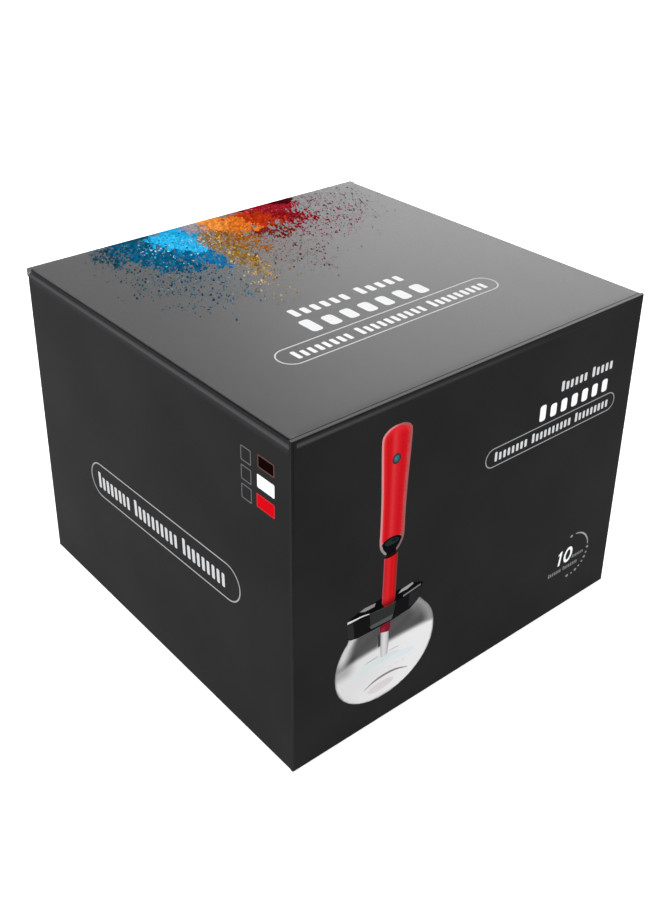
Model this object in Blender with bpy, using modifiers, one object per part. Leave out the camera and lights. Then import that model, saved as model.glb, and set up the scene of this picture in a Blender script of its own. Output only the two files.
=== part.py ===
"""Boxed brush cleaner.

A tuck-top carton holds a thermoformed tray with the kit: a glass wash bowl with its splash
ring, a battery handle that spins a fluted spindle, and eight rubber brush collars.
All sizes are in millimetres and are turned into metres by MM.
The origin is the middle of the carton's base, +Z is up and the printed front faces -Y.
"""

import math

import bmesh
import bpy
from mathutils import Matrix, Vector

MM = 0.001
GAP = 0.3

# Carton
WIDTH = 160.0
DEPTH = 160.0
HEIGHT = 127.0
BOARD = 1.5
INNER_X = WIDTH / 2 - BOARD
INNER_Y = DEPTH / 2 - BOARD
LID_UNDERSIDE = HEIGHT - BOARD
LID_HINGE = (0.0, INNER_Y, LID_UNDERSIDE)
FRONT_TOP = HEIGHT - GAP
BACK_TOP = LID_UNDERSIDE - BOARD - 0.2
SIDE_TOP = 122.0
DUST_UNDERSIDE = LID_UNDERSIDE - GAP - BOARD
TUCK_HINGE = (0.0, -76.7, LID_UNDERSIDE)
TUCK_LEAN = 7.0
TUCK_START = 1.7
TUCK_END = 22.0
TUCK_HALF_WIDTH = 76.0
TUCK_CORNER = 8.0
GLUE_FLAP_LOW = (61.0, 76.7, 6.0)
GLUE_FLAP_HIGH = (77.9, 78.2, 116.0)

# Tray
TRAY_LOW = (-77.9, -77.9, 3.8)
TRAY_HIGH = (77.9, 76.3, 72.0)
TRAY_WALL = 1.0
POCKET_TOP = TRAY_HIGH[2] + 8.0

# Bowl, splash ring and gasket, with heights above the bowl's foot
BOWL_AT = (19.9, 18.3, 5.1)
BOWL_RADIUS = 56.0
BOWL_HALF_HEIGHT = 50.3
BOWL_CENTRE = 45.1
BOWL_WALL = 2.2
BOWL_NECK_RADIUS = 37.5
BOWL_NECK_START = 82.5
BOWL_NECK_END = 94.0
BOWL_RIM = 96.0
BOWL_FLOOR = 2.6
BOWL_STEPS = 40
BOWL_POCKET_GAP = 0.6
RING_TOP = 101.0
RING_SKIRT = 83.5
RING_MOUTH = 25.0

# Handle: u runs along it from nose to tail, w across it and n out of its front face
HANDLE_AT = (-58.8, -70.0, 70.0)
HANDLE_SECTIONS = (
    (1, 8.5, 8.2),
    (4, 10.4, 9.9),
    (8, 12.0, 11.2),
    (13, 13.0, 11.9),
    (20, 13.2, 12.0),
    (45, 13.4, 12.1),
    (70, 13.7, 12.3),
    (90, 14.6, 12.5),
    (105, 15.4, 12.7),
    (112, 15.6, 12.6),
    (117, 14.6, 11.6),
    (120, 11.5, 9.2),
    (122, 6.0, 5.0),
)
SQUARENESS = 2.6
RING_POINTS = 32
SHELL_WALL = 1.8
NOSE_WALL = 1.5
NOSE_END = 10
SHELL_SPLIT = 0.7
FRONT_INSET = 1.0
FRONT_START = 14.0
COVER_START = 62.0
COVER_HALF_WIDTH = 11.0
COVER_TOP = -5.0
BUTTON_U = 89.5
LED_U = 72.0
SCREW_U = 57.0
SCREW_W = 6.0
BATTERY_RADIUS = 5.25
BATTERY_LENGTH = 44.5
BATTERY_W = 5.4
BATTERY_N = -3.6
CONTACT_U = 62.6
BRIDGE_U = 112.3
CONTACT_SHEET = 0.4

# Spindle and collars
SPINDLE_AT = (-25.0, -69.0, 71.0)
SPINDLE_RADIUS = 7.5
SPINDLE_TUBE = 66.0
SPINDLE_FLUTES = 12
FLUTE_DEPTH = 0.4
SOCKET_RADIUS = 4.2
SOCKET_DEPTH = 16.0
COLLAR_HEIGHT = 20.0
COLLAR_BASE = 60.5
COLLAR_NECK = 3.9
COLLAR_ROW_Y = -49.9
COLLAR_ROW_START = -38.0
COLLAR_ROW_GAP = 3.5
ROW_DIAMETERS = (18.0, 16.5, 15.0, 14.0, 13.0, 12.0)
LOOSE_COLLARS = ((11.0, 56.0, -69.0), (10.0, 70.0, -69.0))
COLLAR_STEPS = 16
COLLAR_POCKET_GAP = 0.4
COLLAR_POCKET_FLOOR = 60.0


# ---------------------------------------------------------------- scene and materials

def clear_scene():
    for item in list(bpy.data.objects):
        bpy.data.objects.remove(item, do_unlink=True)


def new_collection(name):
    made = bpy.data.collections.new(name)
    bpy.context.scene.collection.children.link(made)
    return made


def finish(name, colour, roughness, metallic=0.0, alpha=1.0):
    """A Principled material."""
    look = bpy.data.materials.new(name)
    look.use_nodes = True
    shader = look.node_tree.nodes["Principled BSDF"]
    shader.inputs["Base Color"].default_value = (*colour, 1.0)
    shader.inputs["Roughness"].default_value = roughness
    shader.inputs["Metallic"].default_value = metallic
    shader.inputs["Alpha"].default_value = alpha
    return look


clear_scene()
PARTS = new_collection("brush_cleaner")
CUTTERS = new_collection("cutters")

BLACK_BOARD = finish("laminated_board", (0.02, 0.02, 0.022), 0.45)
WHITE_FILM = finish("tray_film", (0.75, 0.76, 0.77), 0.35)
GLASS = finish("clear_glass", (0.85, 0.88, 0.9), 0.05, alpha=0.35)
RED_GLOSS = finish("red_gloss_plastic", (0.62, 0.01, 0.02), 0.22)
SILVER_PLASTIC = finish("silver_plastic", (0.55, 0.54, 0.54), 0.35, 0.3)
BLACK_PLASTIC = finish("black_plastic", (0.012, 0.012, 0.013), 0.35)
BLACK_RUBBER = finish("black_rubber", (0.02, 0.02, 0.02), 0.8)
TEAL_PLASTIC = finish("teal_plastic", (0.05, 0.12, 0.13), 0.4)
STEEL = finish("steel", (0.56, 0.57, 0.58), 0.3, 1.0)
BRASS = finish("nickel_brass", (0.6, 0.55, 0.42), 0.3, 1.0)
GREEN_BOARD = finish("circuit_laminate", (0.02, 0.16, 0.07), 0.5)
CELL_WRAP = finish("cell_wrap", (0.03, 0.05, 0.12), 0.3)
FERRITE = finish("ferrite", (0.04, 0.04, 0.045), 0.6)


# ---------------------------------------------------------------- shapes

def add(name, data, look=None, at=(0, 0, 0), turn=(0, 0, 0), parent=None):
    """Put data in the scene as a part, or as a cutter when it has no look."""
    item = bpy.data.objects.new(name, data)
    item.location = Vector(at) * MM
    item.rotation_euler = [math.radians(angle) for angle in turn]
    item.parent = parent
    if look is None:
        CUTTERS.objects.link(item)
        item.hide_render = True
        item.display_type = "WIRE"
    else:
        PARTS.objects.link(item)
        data.materials.append(look)
    return item


def pivot(name, at, turn=(0, 0, 0)):
    """An empty on a joint's axis, or at a group's own reference point."""
    item = bpy.data.objects.new(name, None)
    item.location = Vector(at) * MM
    item.rotation_euler = [math.radians(angle) for angle in turn]
    PARTS.objects.link(item)
    return item


def to_mesh(name, bm):
    bmesh.ops.recalc_face_normals(bm, faces=bm.faces)
    mesh = bpy.data.meshes.new(name)
    bm.to_mesh(mesh)
    bm.free()
    return mesh


def box(name, low, high, look=None, origin=(0, 0, 0), **place):
    """A box between two corners, with its object origin at the given point."""
    size = [(high[k] - low[k]) * MM for k in range(3)]
    middle = [((high[k] + low[k]) / 2 - origin[k]) * MM for k in range(3)]
    bm = bmesh.new()
    shape = Matrix.Translation(middle) @ Matrix.Diagonal((*size, 1.0))
    bmesh.ops.create_cube(bm, size=1.0, matrix=shape)
    return add(name, to_mesh(name, bm), look, at=origin, **place)


def rod(name, radius, start, end, look=None, sides=24, **place):
    """A cylinder along the object's Z axis, or a hexagonal bar when it has six sides."""
    bm = bmesh.new()
    middle = Matrix.Translation((0, 0, (start + end) / 2 * MM))
    bmesh.ops.create_cone(bm, cap_ends=True, segments=sides, radius1=radius * MM,
                          radius2=radius * MM, depth=(end - start) * MM, matrix=middle)
    mesh = to_mesh(name, bm)
    mesh.shade_smooth()
    mesh.set_sharp_from_angle(angle=math.radians(35))
    return add(name, mesh, look, **place)


def turned(name, profile, look=None, steps=24, closed=False, **place):
    """Turn an (r, z) profile about the object's Z axis; it runs down its outer side."""
    points = [(r * MM, 0.0, z * MM) for r, z in profile]
    edges = [(k, k + 1) for k in range(len(points) - 1)]
    if closed:
        edges.append((len(points) - 1, 0))
    mesh = bpy.data.meshes.new(name)
    mesh.from_pydata(points, edges, [])
    item = add(name, mesh, look, **place)
    screw = item.modifiers.new("turn", "SCREW")
    screw.angle = math.tau
    screw.steps = steps
    screw.render_steps = steps
    screw.use_merge_vertices = True
    screw.merge_threshold = 0.00001
    return item


def plate(name, outline, thickness, look=None, **place):
    """A flat outline in the object's XY plane, with its thickness centred on that plane."""
    curve = bpy.data.curves.new(name, "CURVE")
    curve.dimensions = "2D"
    curve.fill_mode = "BOTH"
    curve.extrude = thickness / 2 * MM
    spline = curve.splines.new("POLY")
    spline.points.add(len(outline) - 1)
    for point, (x, y) in zip(spline.points, outline):
        point.co = (x * MM, y * MM, 0.0, 1.0)
    spline.use_cyclic_u = True
    return add(name, curve, look, **place)


def loft(name, rings, look=None, **place):
    """A closed skin through rings of the same number of points, capped at both ends."""
    bm = bmesh.new()
    rows = [[bm.verts.new(Vector(point) * MM) for point in ring] for ring in rings]
    for near, far in zip(rows, rows[1:]):
        for k in range(len(near)):
            after = (k + 1) % len(near)
            bm.faces.new((near[k], near[after], far[after], far[k]))
    bm.faces.new(rows[0])
    bm.faces.new(rows[-1])
    mesh = to_mesh(name, bm)
    mesh.shade_smooth()
    mesh.set_sharp_from_angle(angle=math.radians(35))
    return add(name, mesh, look, **place)


def cut(item, tool, operation="DIFFERENCE"):
    """Boolean the tool out of the item, into it, or keep what they share."""
    step = item.modifiers.new(tool.name, "BOOLEAN")
    step.object = tool
    step.operation = operation
    step.solver = "EXACT"
    return item


def ellipse_radius(height, radius, half_height):
    """The radius of an ellipsoid at a height above its own middle."""
    return radius * math.sqrt(1 - (height / half_height) ** 2)


def arc(centre, radius, start, end, steps=5):
    """Points on an arc, between two angles in degrees."""
    angles = [math.radians(start + (end - start) * k / steps) for k in range(steps + 1)]
    return [(centre[0] + radius * math.cos(a), centre[1] + radius * math.sin(a)) for a in angles]


# ---------------------------------------------------------------- carton

def carton_walls():
    half_x = WIDTH / 2
    half_y = DEPTH / 2
    side_y = INNER_Y - GAP
    box("front_panel", (-half_x, -half_y, 0), (half_x, -INNER_Y, FRONT_TOP), BLACK_BOARD)
    box("back_panel", (-half_x, INNER_Y, 0), (half_x, half_y, BACK_TOP), BLACK_BOARD)
    box("left_panel", (-half_x, -side_y, 0), (-INNER_X, side_y, SIDE_TOP), BLACK_BOARD)
    box("right_panel", (INNER_X, -side_y, 0), (half_x, side_y, SIDE_TOP), BLACK_BOARD)
    box("glue_flap", GLUE_FLAP_LOW, GLUE_FLAP_HIGH, BLACK_BOARD)


def carton_base():
    """Four bottom flaps: the front and back ones outside, the side ones resting on them."""
    edge = INNER_X - GAP
    outer_middle = BOARD / 2
    inner_middle = BOARD + GAP + BOARD / 2
    front = [(-edge, -edge), (edge, -edge), (70, -5), (22, 12), (-22, 12), (-70, -5)]
    back = [(edge, edge), (-edge, edge), (-edge, 18), (-74, 14), (74, 14), (edge, 18)]
    side = [(edge, -76), (edge, 76), (20, 50), (8, 0), (20, -50)]
    plate("bottom_flap_front", front, BOARD, BLACK_BOARD, at=(0, 0, outer_middle))
    plate("bottom_flap_back", back, BOARD, BLACK_BOARD, at=(0, 0, outer_middle))
    plate("bottom_flap_right", side, BOARD, BLACK_BOARD, at=(0, 0, inner_middle))
    mirrored = [(-x, y) for x, y in side]
    plate("bottom_flap_left", mirrored, BOARD, BLACK_BOARD, at=(0, 0, inner_middle))


def carton_lid():
    """The lid hinges on the back wall and carries the tuck flap on its front edge."""
    edge_y = INNER_Y - GAP
    edge_x = WIDTH / 2 - 0.2
    low = (-edge_x, -edge_y, LID_UNDERSIDE)
    high = (edge_x, edge_y, HEIGHT)
    box("lid_panel", low, high, BLACK_BOARD, origin=LID_HINGE)
    side = TUCK_HALF_WIDTH
    inner = side - TUCK_CORNER
    right = arc((inner, TUCK_END - TUCK_CORNER), TUCK_CORNER, 0, 90)
    left = arc((-inner, TUCK_END - TUCK_CORNER), TUCK_CORNER, 90, 180)
    outline = [(side, TUCK_START)] + right + left + [(-side, TUCK_START)]
    hinge = pivot("tuck_hinge", TUCK_HINGE, turn=(TUCK_LEAN - 90, 0, 0))
    plate("tuck_flap", outline, BOARD, BLACK_BOARD, at=(0, 0, -BOARD / 2), parent=hinge)


def dust_flap(name, side):
    """A flap folded over from a side wall; side is -1 on the left and 1 on the right."""
    reach = [(GAP, -74.5), (14, -74.5), (20, -70), (50, -66), (50, 37.5), (GAP, 76.3)]
    outline = [(-side * x, y) for x, y in reach]
    hinge = pivot(name + "_hinge", (side * INNER_X, 0, DUST_UNDERSIDE))
    plate(name, outline, BOARD, BLACK_BOARD, at=(0, 0, BOARD / 2), parent=hinge)


# ---------------------------------------------------------------- tray

def bowl_pocket(name, grow, floor):
    """The hollow under the bowl: its outer curve up to the widest point, then straight up."""
    radius = BOWL_RADIUS + BOWL_POCKET_GAP + grow
    half_height = BOWL_HALF_HEIGHT + BOWL_POCKET_GAP + grow
    middle = BOWL_AT[2] + BOWL_CENTRE
    profile = [(0, POCKET_TOP), (radius, POCKET_TOP)]
    rows = 6
    for k in range(rows + 1):
        z = middle + (floor - middle) * k / rows
        profile.append((ellipse_radius(z - middle, radius, half_height), z))
    profile.append((0, floor))
    return turned(name, profile, steps=BOWL_STEPS, at=(BOWL_AT[0], BOWL_AT[1], 0))


def slot(name, low, high, grow):
    """A box-shaped hollow, open at the top of the tray."""
    base = (low[0] - grow, low[1] - grow, low[2] - grow)
    top = (high[0] + grow, high[1] + grow, POCKET_TOP)
    return box(name, base, top)


def collar_places():
    """(diameter, x, y) of every collar, the largest first."""
    places = []
    x = COLLAR_ROW_START
    for diameter in ROW_DIAMETERS:
        places.append((diameter, x + diameter / 2, COLLAR_ROW_Y))
        x += diameter + COLLAR_ROW_GAP
    places.extend(LOOSE_COLLARS)
    return places


def pockets(prefix, grow):
    """Every hollow of the tray as a cutter, grown by the tray's wall for the underside."""
    tools = [bowl_pocket(prefix + "_bowl", grow, BOWL_AT[2] - GAP - grow)]
    tools.append(slot(prefix + "_handle", (-75.2, -76.4, 56.6), (-42.4, 74.8, 0), grow))
    tools.append(slot(prefix + "_spindle", (-39.2, -77.0, 63.0), (42.2, -61.0, 0), grow))
    for number, (diameter, x, y) in enumerate(collar_places(), 1):
        radius = diameter / 2 + COLLAR_POCKET_GAP + grow
        name = f"{prefix}_collar_{number}"
        floor = COLLAR_POCKET_FLOOR - grow
        tools.append(rod(name, radius, floor, POCKET_TOP, sides=COLLAR_STEPS, at=(x, y, 0)))
    return tools


def tray():
    """A thin formed sheet: a block less its pockets, hollowed from below."""
    item = box("tray", TRAY_LOW, TRAY_HIGH, WHITE_FILM)
    inside_low = (TRAY_LOW[0] + TRAY_WALL, TRAY_LOW[1] + TRAY_WALL, -5.0)
    inside_high = tuple(edge - TRAY_WALL for edge in TRAY_HIGH)
    core = box("tray_core", inside_low, inside_high)
    for tool in pockets("pocket", 0.0):
        cut(item, tool)
    for tool in pockets("grown", TRAY_WALL):
        cut(core, tool)
    cut(item, core)


# ---------------------------------------------------------------- bowl and ring

def bowl_wall(radius, half_height, low, high, rows):
    """Points of the bowl's round wall, from the top down."""
    heights = [high + (low - high) * k / rows for k in range(rows + 1)]
    return [(ellipse_radius(z - BOWL_CENTRE, radius, half_height), z) for z in heights]


def glass_bowl():
    rim = BOWL_NECK_RADIUS + 0.8
    neck_inside = BOWL_NECK_RADIUS - BOWL_WALL
    profile = [(rim - 0.8, BOWL_RIM), (rim, BOWL_RIM - 0.7), (rim, BOWL_RIM - 1.6)]
    profile.append((BOWL_NECK_RADIUS, BOWL_NECK_END))
    profile += bowl_wall(BOWL_RADIUS, BOWL_HALF_HEIGHT, 0.0, BOWL_NECK_START, 9)
    profile.append((0.0, 0.0))
    inside = bowl_wall(BOWL_RADIUS - BOWL_WALL, BOWL_HALF_HEIGHT - BOWL_WALL, BOWL_FLOOR,
                       BOWL_NECK_START - 1.0, 8)
    inner_side = [(0.0, BOWL_FLOOR)] + inside[::-1]
    inner_side += [(neck_inside, BOWL_NECK_START + 1.0), (neck_inside, BOWL_RIM - 0.6)]
    inner_side.append((neck_inside + 0.8, BOWL_RIM))
    item = turned("glass_bowl", profile + inner_side + [profile[0]], GLASS,
                  steps=BOWL_STEPS, at=BOWL_AT)
    return item


def splash_ring():
    """The black ring over the bowl's mouth, with a skirt outside and a lip inside."""
    profile = [
        (40.2, RING_TOP), (41.6, RING_TOP - 1.4), (41.6, 97.0), (41.0, 96.0),
        (41.0, RING_SKIRT), (38.8, RING_SKIRT), (38.8, 98.0), (26.6, 98.0),
        (26.6, 94.0), (RING_MOUTH, 94.0), (RING_MOUTH, RING_TOP - 0.5),
        (RING_MOUTH + 0.5, RING_TOP), (27.0, RING_TOP), (28.4, 100.0), (38.4, 100.0),
        (39.0, RING_TOP),
    ]
    turned("splash_ring", profile, BLACK_PLASTIC, steps=BOWL_STEPS, closed=True, at=BOWL_AT)
    seal = [(38.2, 97.7), (38.2, 96.3), (34.6, 96.3), (34.6, 97.7)]
    turned("ring_gasket", seal, BLACK_RUBBER, steps=BOWL_STEPS, closed=True, at=BOWL_AT)


# ---------------------------------------------------------------- handle shells

def section(u, half_width, half_depth):
    """A superellipse across the handle at u."""
    ring = []
    for k in range(RING_POINTS):
        angle = math.tau * k / RING_POINTS
        across = math.copysign(abs(math.cos(angle)) ** (2 / SQUARENESS), math.cos(angle))
        out = math.copysign(abs(math.sin(angle)) ** (2 / SQUARENESS), math.sin(angle))
        ring.append((half_width * across, u, half_depth * out))
    return ring


def outer_rings(inset=0.0):
    """The handle's outside, narrower and shorter by the inset."""
    rings = [section(u, a - inset, b) for u, a, b in HANDLE_SECTIONS[:-2]]
    rings += [section(u - inset, a - inset, b) for u, a, b in HANDLE_SECTIONS[-2:]]
    return rings


def inner_rings(inset=0.0):
    """The handle's inside, open past the nose and closed before the tail."""
    rings = []
    for u, a, b in HANDLE_SECTIONS[:-2]:
        wall = NOSE_WALL if u < NOSE_END else SHELL_WALL
        rings.append(section(u, a - wall - inset, b - wall))
    nose = [(x, -2.0, z) for x, _, z in rings[0]]
    tail = section(119.6 - inset, 8.5 - inset, 6.4)
    return [nose] + rings + [tail]


def rear_shell(frame):
    """The silver back half, cut away for the battery cover."""
    shell = loft("rear_shell", outer_rings(), SILVER_PLASTIC, parent=frame)
    hollow = loft("rear_hollow", inner_rings(), parent=frame)
    above = box("rear_above", (-20, -10, SHELL_SPLIT), (20, 130, 20), parent=frame)
    low = (-COVER_HALF_WIDTH - GAP, COVER_START - GAP, -20)
    high = (COVER_HALF_WIDTH + GAP, 130, COVER_TOP + GAP)
    doorway = box("rear_doorway", low, high, parent=frame)
    cut(shell, hollow)
    cut(shell, above)
    cut(shell, doorway)
    for number, side in ((1, -1), (2, 1)):
        at = (side * SCREW_W, SCREW_U, 0)
        cut(shell, rod(f"rear_pad_{number}", 2.8, -10.25, -7.0, sides=16, at=at, parent=frame),
            "UNION")
        cut(shell, rod(f"rear_recess_{number}", 2.2, -13, -9.0, sides=16, at=at, parent=frame))
        cut(shell, rod(f"rear_hole_{number}", 1.2, -10, -6.0, sides=12, at=at, parent=frame))


def front_shell(frame):
    """The red front half, set in from the silver rim, with two screw bosses behind it."""
    shell = loft("front_shell", outer_rings(FRONT_INSET), RED_GLOSS, parent=frame)
    hollow = loft("front_hollow", inner_rings(FRONT_INSET), parent=frame)
    below = box("front_below", (-20, -10, -20), (20, 130, SHELL_SPLIT + GAP), parent=frame)
    nose = box("front_nose", (-20, -10, -20), (20, FRONT_START, 20), parent=frame)
    cut(shell, hollow)
    cut(shell, below)
    cut(shell, nose)
    cut(shell, rod("button_hole", 6.2, 5, 20, at=(0, BUTTON_U, 0), parent=frame))
    cut(shell, rod("led_hole", 1.5, 5, 20, sides=16, at=(0, LED_U, 0), parent=frame))
    for number, side in ((1, -1), (2, 1)):
        at = (side * SCREW_W, SCREW_U, 0)
        cut(shell, rod(f"boss_{number}", 2.2, -6.7, 10.2, sides=16, at=at, parent=frame), "UNION")
        cut(shell, rod(f"boss_hole_{number}", 1.2, -8, 4.4, sides=12, at=at, parent=frame))


def battery_cover(frame):
    """The part of the back shell over the cells; it slides off towards the tail."""
    cover = loft("battery_cover", outer_rings(), SILVER_PLASTIC, parent=frame)
    hollow = loft("cover_hollow", inner_rings(), parent=frame)
    low = (-COVER_HALF_WIDTH, COVER_START, -20)
    high = (COVER_HALF_WIDTH, 130, COVER_TOP)
    doorway = box("cover_doorway", low, high, parent=frame)
    cut(cover, doorway, "INTERSECT")
    cut(cover, hollow)


def shell_screws(frame):
    profile = [(0, 4.0), (0.9, 3.5), (0.9, -9.3), (1.9, -9.3), (1.9, -10.2), (1.5, -10.6), (0, -10.6)]
    for number, side in ((1, -1), (2, 1)):
        at = (side * SCREW_W, SCREW_U, 0)
        turned(f"shell_screw_{number}", profile, STEEL, steps=12, at=at, parent=frame)


# ---------------------------------------------------------------- handle drive

ALONG = (-90, 0, 0)


def nose_parts(frame):
    cone = [
        (9.8, 17), (9.8, 12), (9.2, 8), (7.9, 4), (6.3, 1),
        (4.9, 1), (4.9, 4), (6.3, 4), (6.3, 17),
    ]
    turned("nose_cone", cone, BLACK_PLASTIC, closed=True, turn=ALONG, parent=frame)
    seal = [(6.0, 7.0), (6.0, 4.3), (4.85, 4.3), (4.85, 7.0)]
    turned("nose_seal", seal, BLACK_RUBBER, closed=True, turn=ALONG, parent=frame)


def drive_parts(frame):
    """What the motor turns: the hexagonal coupler, the shaft and the rotor."""
    profile = [(0, 12), (4.5, 12), (4.5, -3.4), (3.9, -4), (0, -4)]
    coupler = turned("drive_coupler", profile, BLACK_PLASTIC, turn=ALONG, parent=frame)
    hexagon = 2.5 / math.cos(math.radians(30))
    cut(coupler, rod("coupler_hex", hexagon, -6, 3, sides=6, turn=ALONG, parent=frame))
    cut(coupler, rod("coupler_bore", 1.3, 6, 14, sides=12, turn=ALONG, parent=frame))
    rod("motor_shaft", 1.0, 8, 50, STEEL, sides=12, turn=ALONG, parent=frame)
    rotor = [(5.7, 42), (5.7, 28), (1.3, 28), (1.3, 42)]
    turned("motor_rotor", rotor, FERRITE, closed=True, turn=ALONG, parent=frame)


def motor_parts(frame):
    """The motor's still parts: can, end cap, two magnets and the ring that holds the can."""
    can = [
        (9.0, 46), (9.0, 24), (3.0, 24), (3.0, 22.5), (1.3, 22.5), (1.3, 24.9),
        (8.1, 24.9), (8.1, 46),
    ]
    turned("motor_can", can, STEEL, closed=True, turn=ALONG, parent=frame)
    cap = [(8.8, 49), (8.8, 46.3), (1.3, 46.3), (1.3, 49)]
    turned("motor_end_cap", cap, BLACK_PLASTIC, closed=True, turn=ALONG, parent=frame)
    ring = [(9.9, 34), (9.9, 26), (9.3, 26), (9.3, 34)]
    turned("motor_mount_ring", ring, BLACK_RUBBER, closed=True, turn=ALONG, parent=frame)
    for number, middle in ((1, 0), (2, 180)):
        outline = arc((0, 0), 7.8, middle - 55, middle + 55, 10)
        outline += arc((0, 0), 6.3, middle + 55, middle - 55, 10)
        plate(f"motor_magnet_{number}", outline, 18, FERRITE, at=(0, 35, 0), turn=ALONG,
              parent=frame)


# ---------------------------------------------------------------- handle electrics

def button_parts(frame):
    at = (0, BUTTON_U, 0)
    cap = [(0, 13.4), (3.7, 13.4), (4.2, 12.9), (4.2, 9.8), (5.4, 9.8), (5.4, 9.0), (0, 9.0)]
    turned("power_button", cap, TEAL_PLASTIC, at=at, parent=frame)
    ring = [(5.5, 12.9), (5.9, 12.5), (5.9, 10.9), (4.6, 10.9), (4.6, 12.6), (4.9, 12.9)]
    turned("button_bezel", ring, BLACK_PLASTIC, closed=True, at=at, parent=frame)
    lens = [(0, 12.6), (0.9, 12.5), (1.2, 12.2), (1.2, 10.0), (0, 10.0)]
    turned("led_lens", lens, TEAL_PLASTIC, steps=12, at=(0, LED_U, 0), parent=frame)


def board_parts(frame):
    box("circuit_board", (-8, 76, 4), (8, 106, 5), GREEN_BOARD, parent=frame)
    low = (-3, BUTTON_U - 3, 5.3)
    high = (3, BUTTON_U + 3, 7.6)
    box("tact_switch", low, high, BLACK_PLASTIC, parent=frame)


def battery(name, side, nub_end, frame):
    """An AAA cell along u; nub_end is the u of its plus end and its body lies beyond it."""
    way = 1 if nub_end < 90 else -1
    body_start = nub_end + way * 0.8
    body_end = nub_end + way * BATTERY_LENGTH
    ends = [(1.9, nub_end), (1.9, body_start), (BATTERY_RADIUS, body_start),
            (BATTERY_RADIUS, body_end)]
    profile = [(0, nub_end)] + ends + [(0, body_end)]
    if way > 0:
        profile.reverse()
    at = (side * BATTERY_W, 0, BATTERY_N)
    turned(name, profile, CELL_WRAP, at=at, turn=ALONG, parent=frame)


def spring(name, side, start, end, frame):
    """A conical contact spring, a wire wound along u."""
    turns = 3
    per_turn = 8
    count = turns * per_turn
    curve = bpy.data.curves.new(name, "CURVE")
    curve.dimensions = "3D"
    curve.bevel_depth = 0.35 * MM
    curve.bevel_resolution = 2
    curve.use_fill_caps = True
    path = curve.splines.new("POLY")
    path.points.add(count)
    for k, point in enumerate(path.points):
        share = k / count
        radius = 3.4 - 1.4 * share
        angle = math.tau * k / per_turn
        x = radius * math.cos(angle)
        z = radius * math.sin(angle)
        point.co = (x * MM, (start + (end - start) * share) * MM, z * MM, 1.0)
    at = (side * BATTERY_W, 0, BATTERY_N)
    add(name, curve, STEEL, at=at, parent=frame)


def power_parts(frame):
    battery("battery_1", 1, CONTACT_U + CONTACT_SHEET + GAP, frame)
    battery("battery_2", -1, BRIDGE_U - GAP, frame)
    spring("battery_spring_1", 1, BRIDGE_U - 0.7, 108.5, frame)
    spring("battery_spring_2", -1, CONTACT_U + CONTACT_SHEET + 0.7, 66.8, frame)
    top = 0.5
    bottom = -6.5
    end = CONTACT_U + CONTACT_SHEET
    box("contact_plus", (1.2, CONTACT_U, bottom), (9, end, top), BRASS, parent=frame)
    box("contact_minus", (-9, CONTACT_U, bottom), (-1.2, end, top), BRASS, parent=frame)
    bridge_end = BRIDGE_U + CONTACT_SHEET
    box("contact_bridge", (-9, BRIDGE_U, bottom), (9, bridge_end, top), BRASS, parent=frame)


def handle():
    frame = pivot("handle_axis", HANDLE_AT)
    rear_shell(frame)
    front_shell(frame)
    battery_cover(frame)
    shell_screws(frame)
    nose_parts(frame)
    drive_parts(frame)
    motor_parts(frame)
    button_parts(frame)
    board_parts(frame)
    power_parts(frame)


# ---------------------------------------------------------------- spindle and collars

def spindle():
    """A fluted tube with a collar socket at one end and a hexagonal drive stub at the other."""
    frame = pivot("spindle_axis", SPINDLE_AT, turn=(0, 90, 0))
    count = SPINDLE_FLUTES * 4
    ring = []
    for k in range(count):
        angle = math.tau * k / count
        radius = SPINDLE_RADIUS - FLUTE_DEPTH * (1 - math.cos(SPINDLE_FLUTES * angle)) / 2
        ring.append((radius * math.cos(angle), radius * math.sin(angle)))
    ends = [[(x, y, z) for x, y in ring] for z in (0.0, SPINDLE_TUBE)]
    tube = loft("spindle_tube", ends, RED_GLOSS, parent=frame)
    socket_floor = SPINDLE_TUBE - SOCKET_DEPTH
    cut(tube, rod("socket", SOCKET_RADIUS, socket_floor, SPINDLE_TUBE + 2, parent=frame))
    flange = [(0, -GAP), (6.9, -GAP), (6.9, -4.2), (6.2, -5.0), (0, -5.0)]
    plug = turned("spindle_plug", flange, BLACK_PLASTIC, parent=frame)
    hexagon = 2.3 / math.cos(math.radians(30))
    cut(plug, rod("plug_hex", hexagon, -13, -2, sides=6, parent=frame), "UNION")


def collars():
    """Rubber cups that grip brush handles; each one's neck plugs into the spindle."""
    for number, (diameter, x, y) in enumerate(collar_places(), 1):
        radius = diameter / 2
        bore = radius - 1.6
        profile = [
            (radius, COLLAR_HEIGHT), (radius, 9.5), (COLLAR_NECK, 7.0), (COLLAR_NECK, 0.0),
            (0.0, 0.0), (0.0, 10.5), (bore * 0.7, 10.5), (bore, 12.5),
            (bore, COLLAR_HEIGHT), (radius, COLLAR_HEIGHT),
        ]
        turned(f"collar_{number}", profile, BLACK_RUBBER, steps=COLLAR_STEPS,
               at=(x, y, COLLAR_BASE))


def main():
    carton_walls()
    carton_base()
    carton_lid()
    dust_flap("dust_flap_left", -1)
    dust_flap("dust_flap_right", 1)
    tray()
    glass_bowl()
    splash_ring()
    handle()
    spindle()
    collars()


main()
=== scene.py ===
import math
import random

import bmesh
import bpy
from mathutils import Matrix, Vector
from mathutils.geometry import delaunay_2d_cdt


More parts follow.
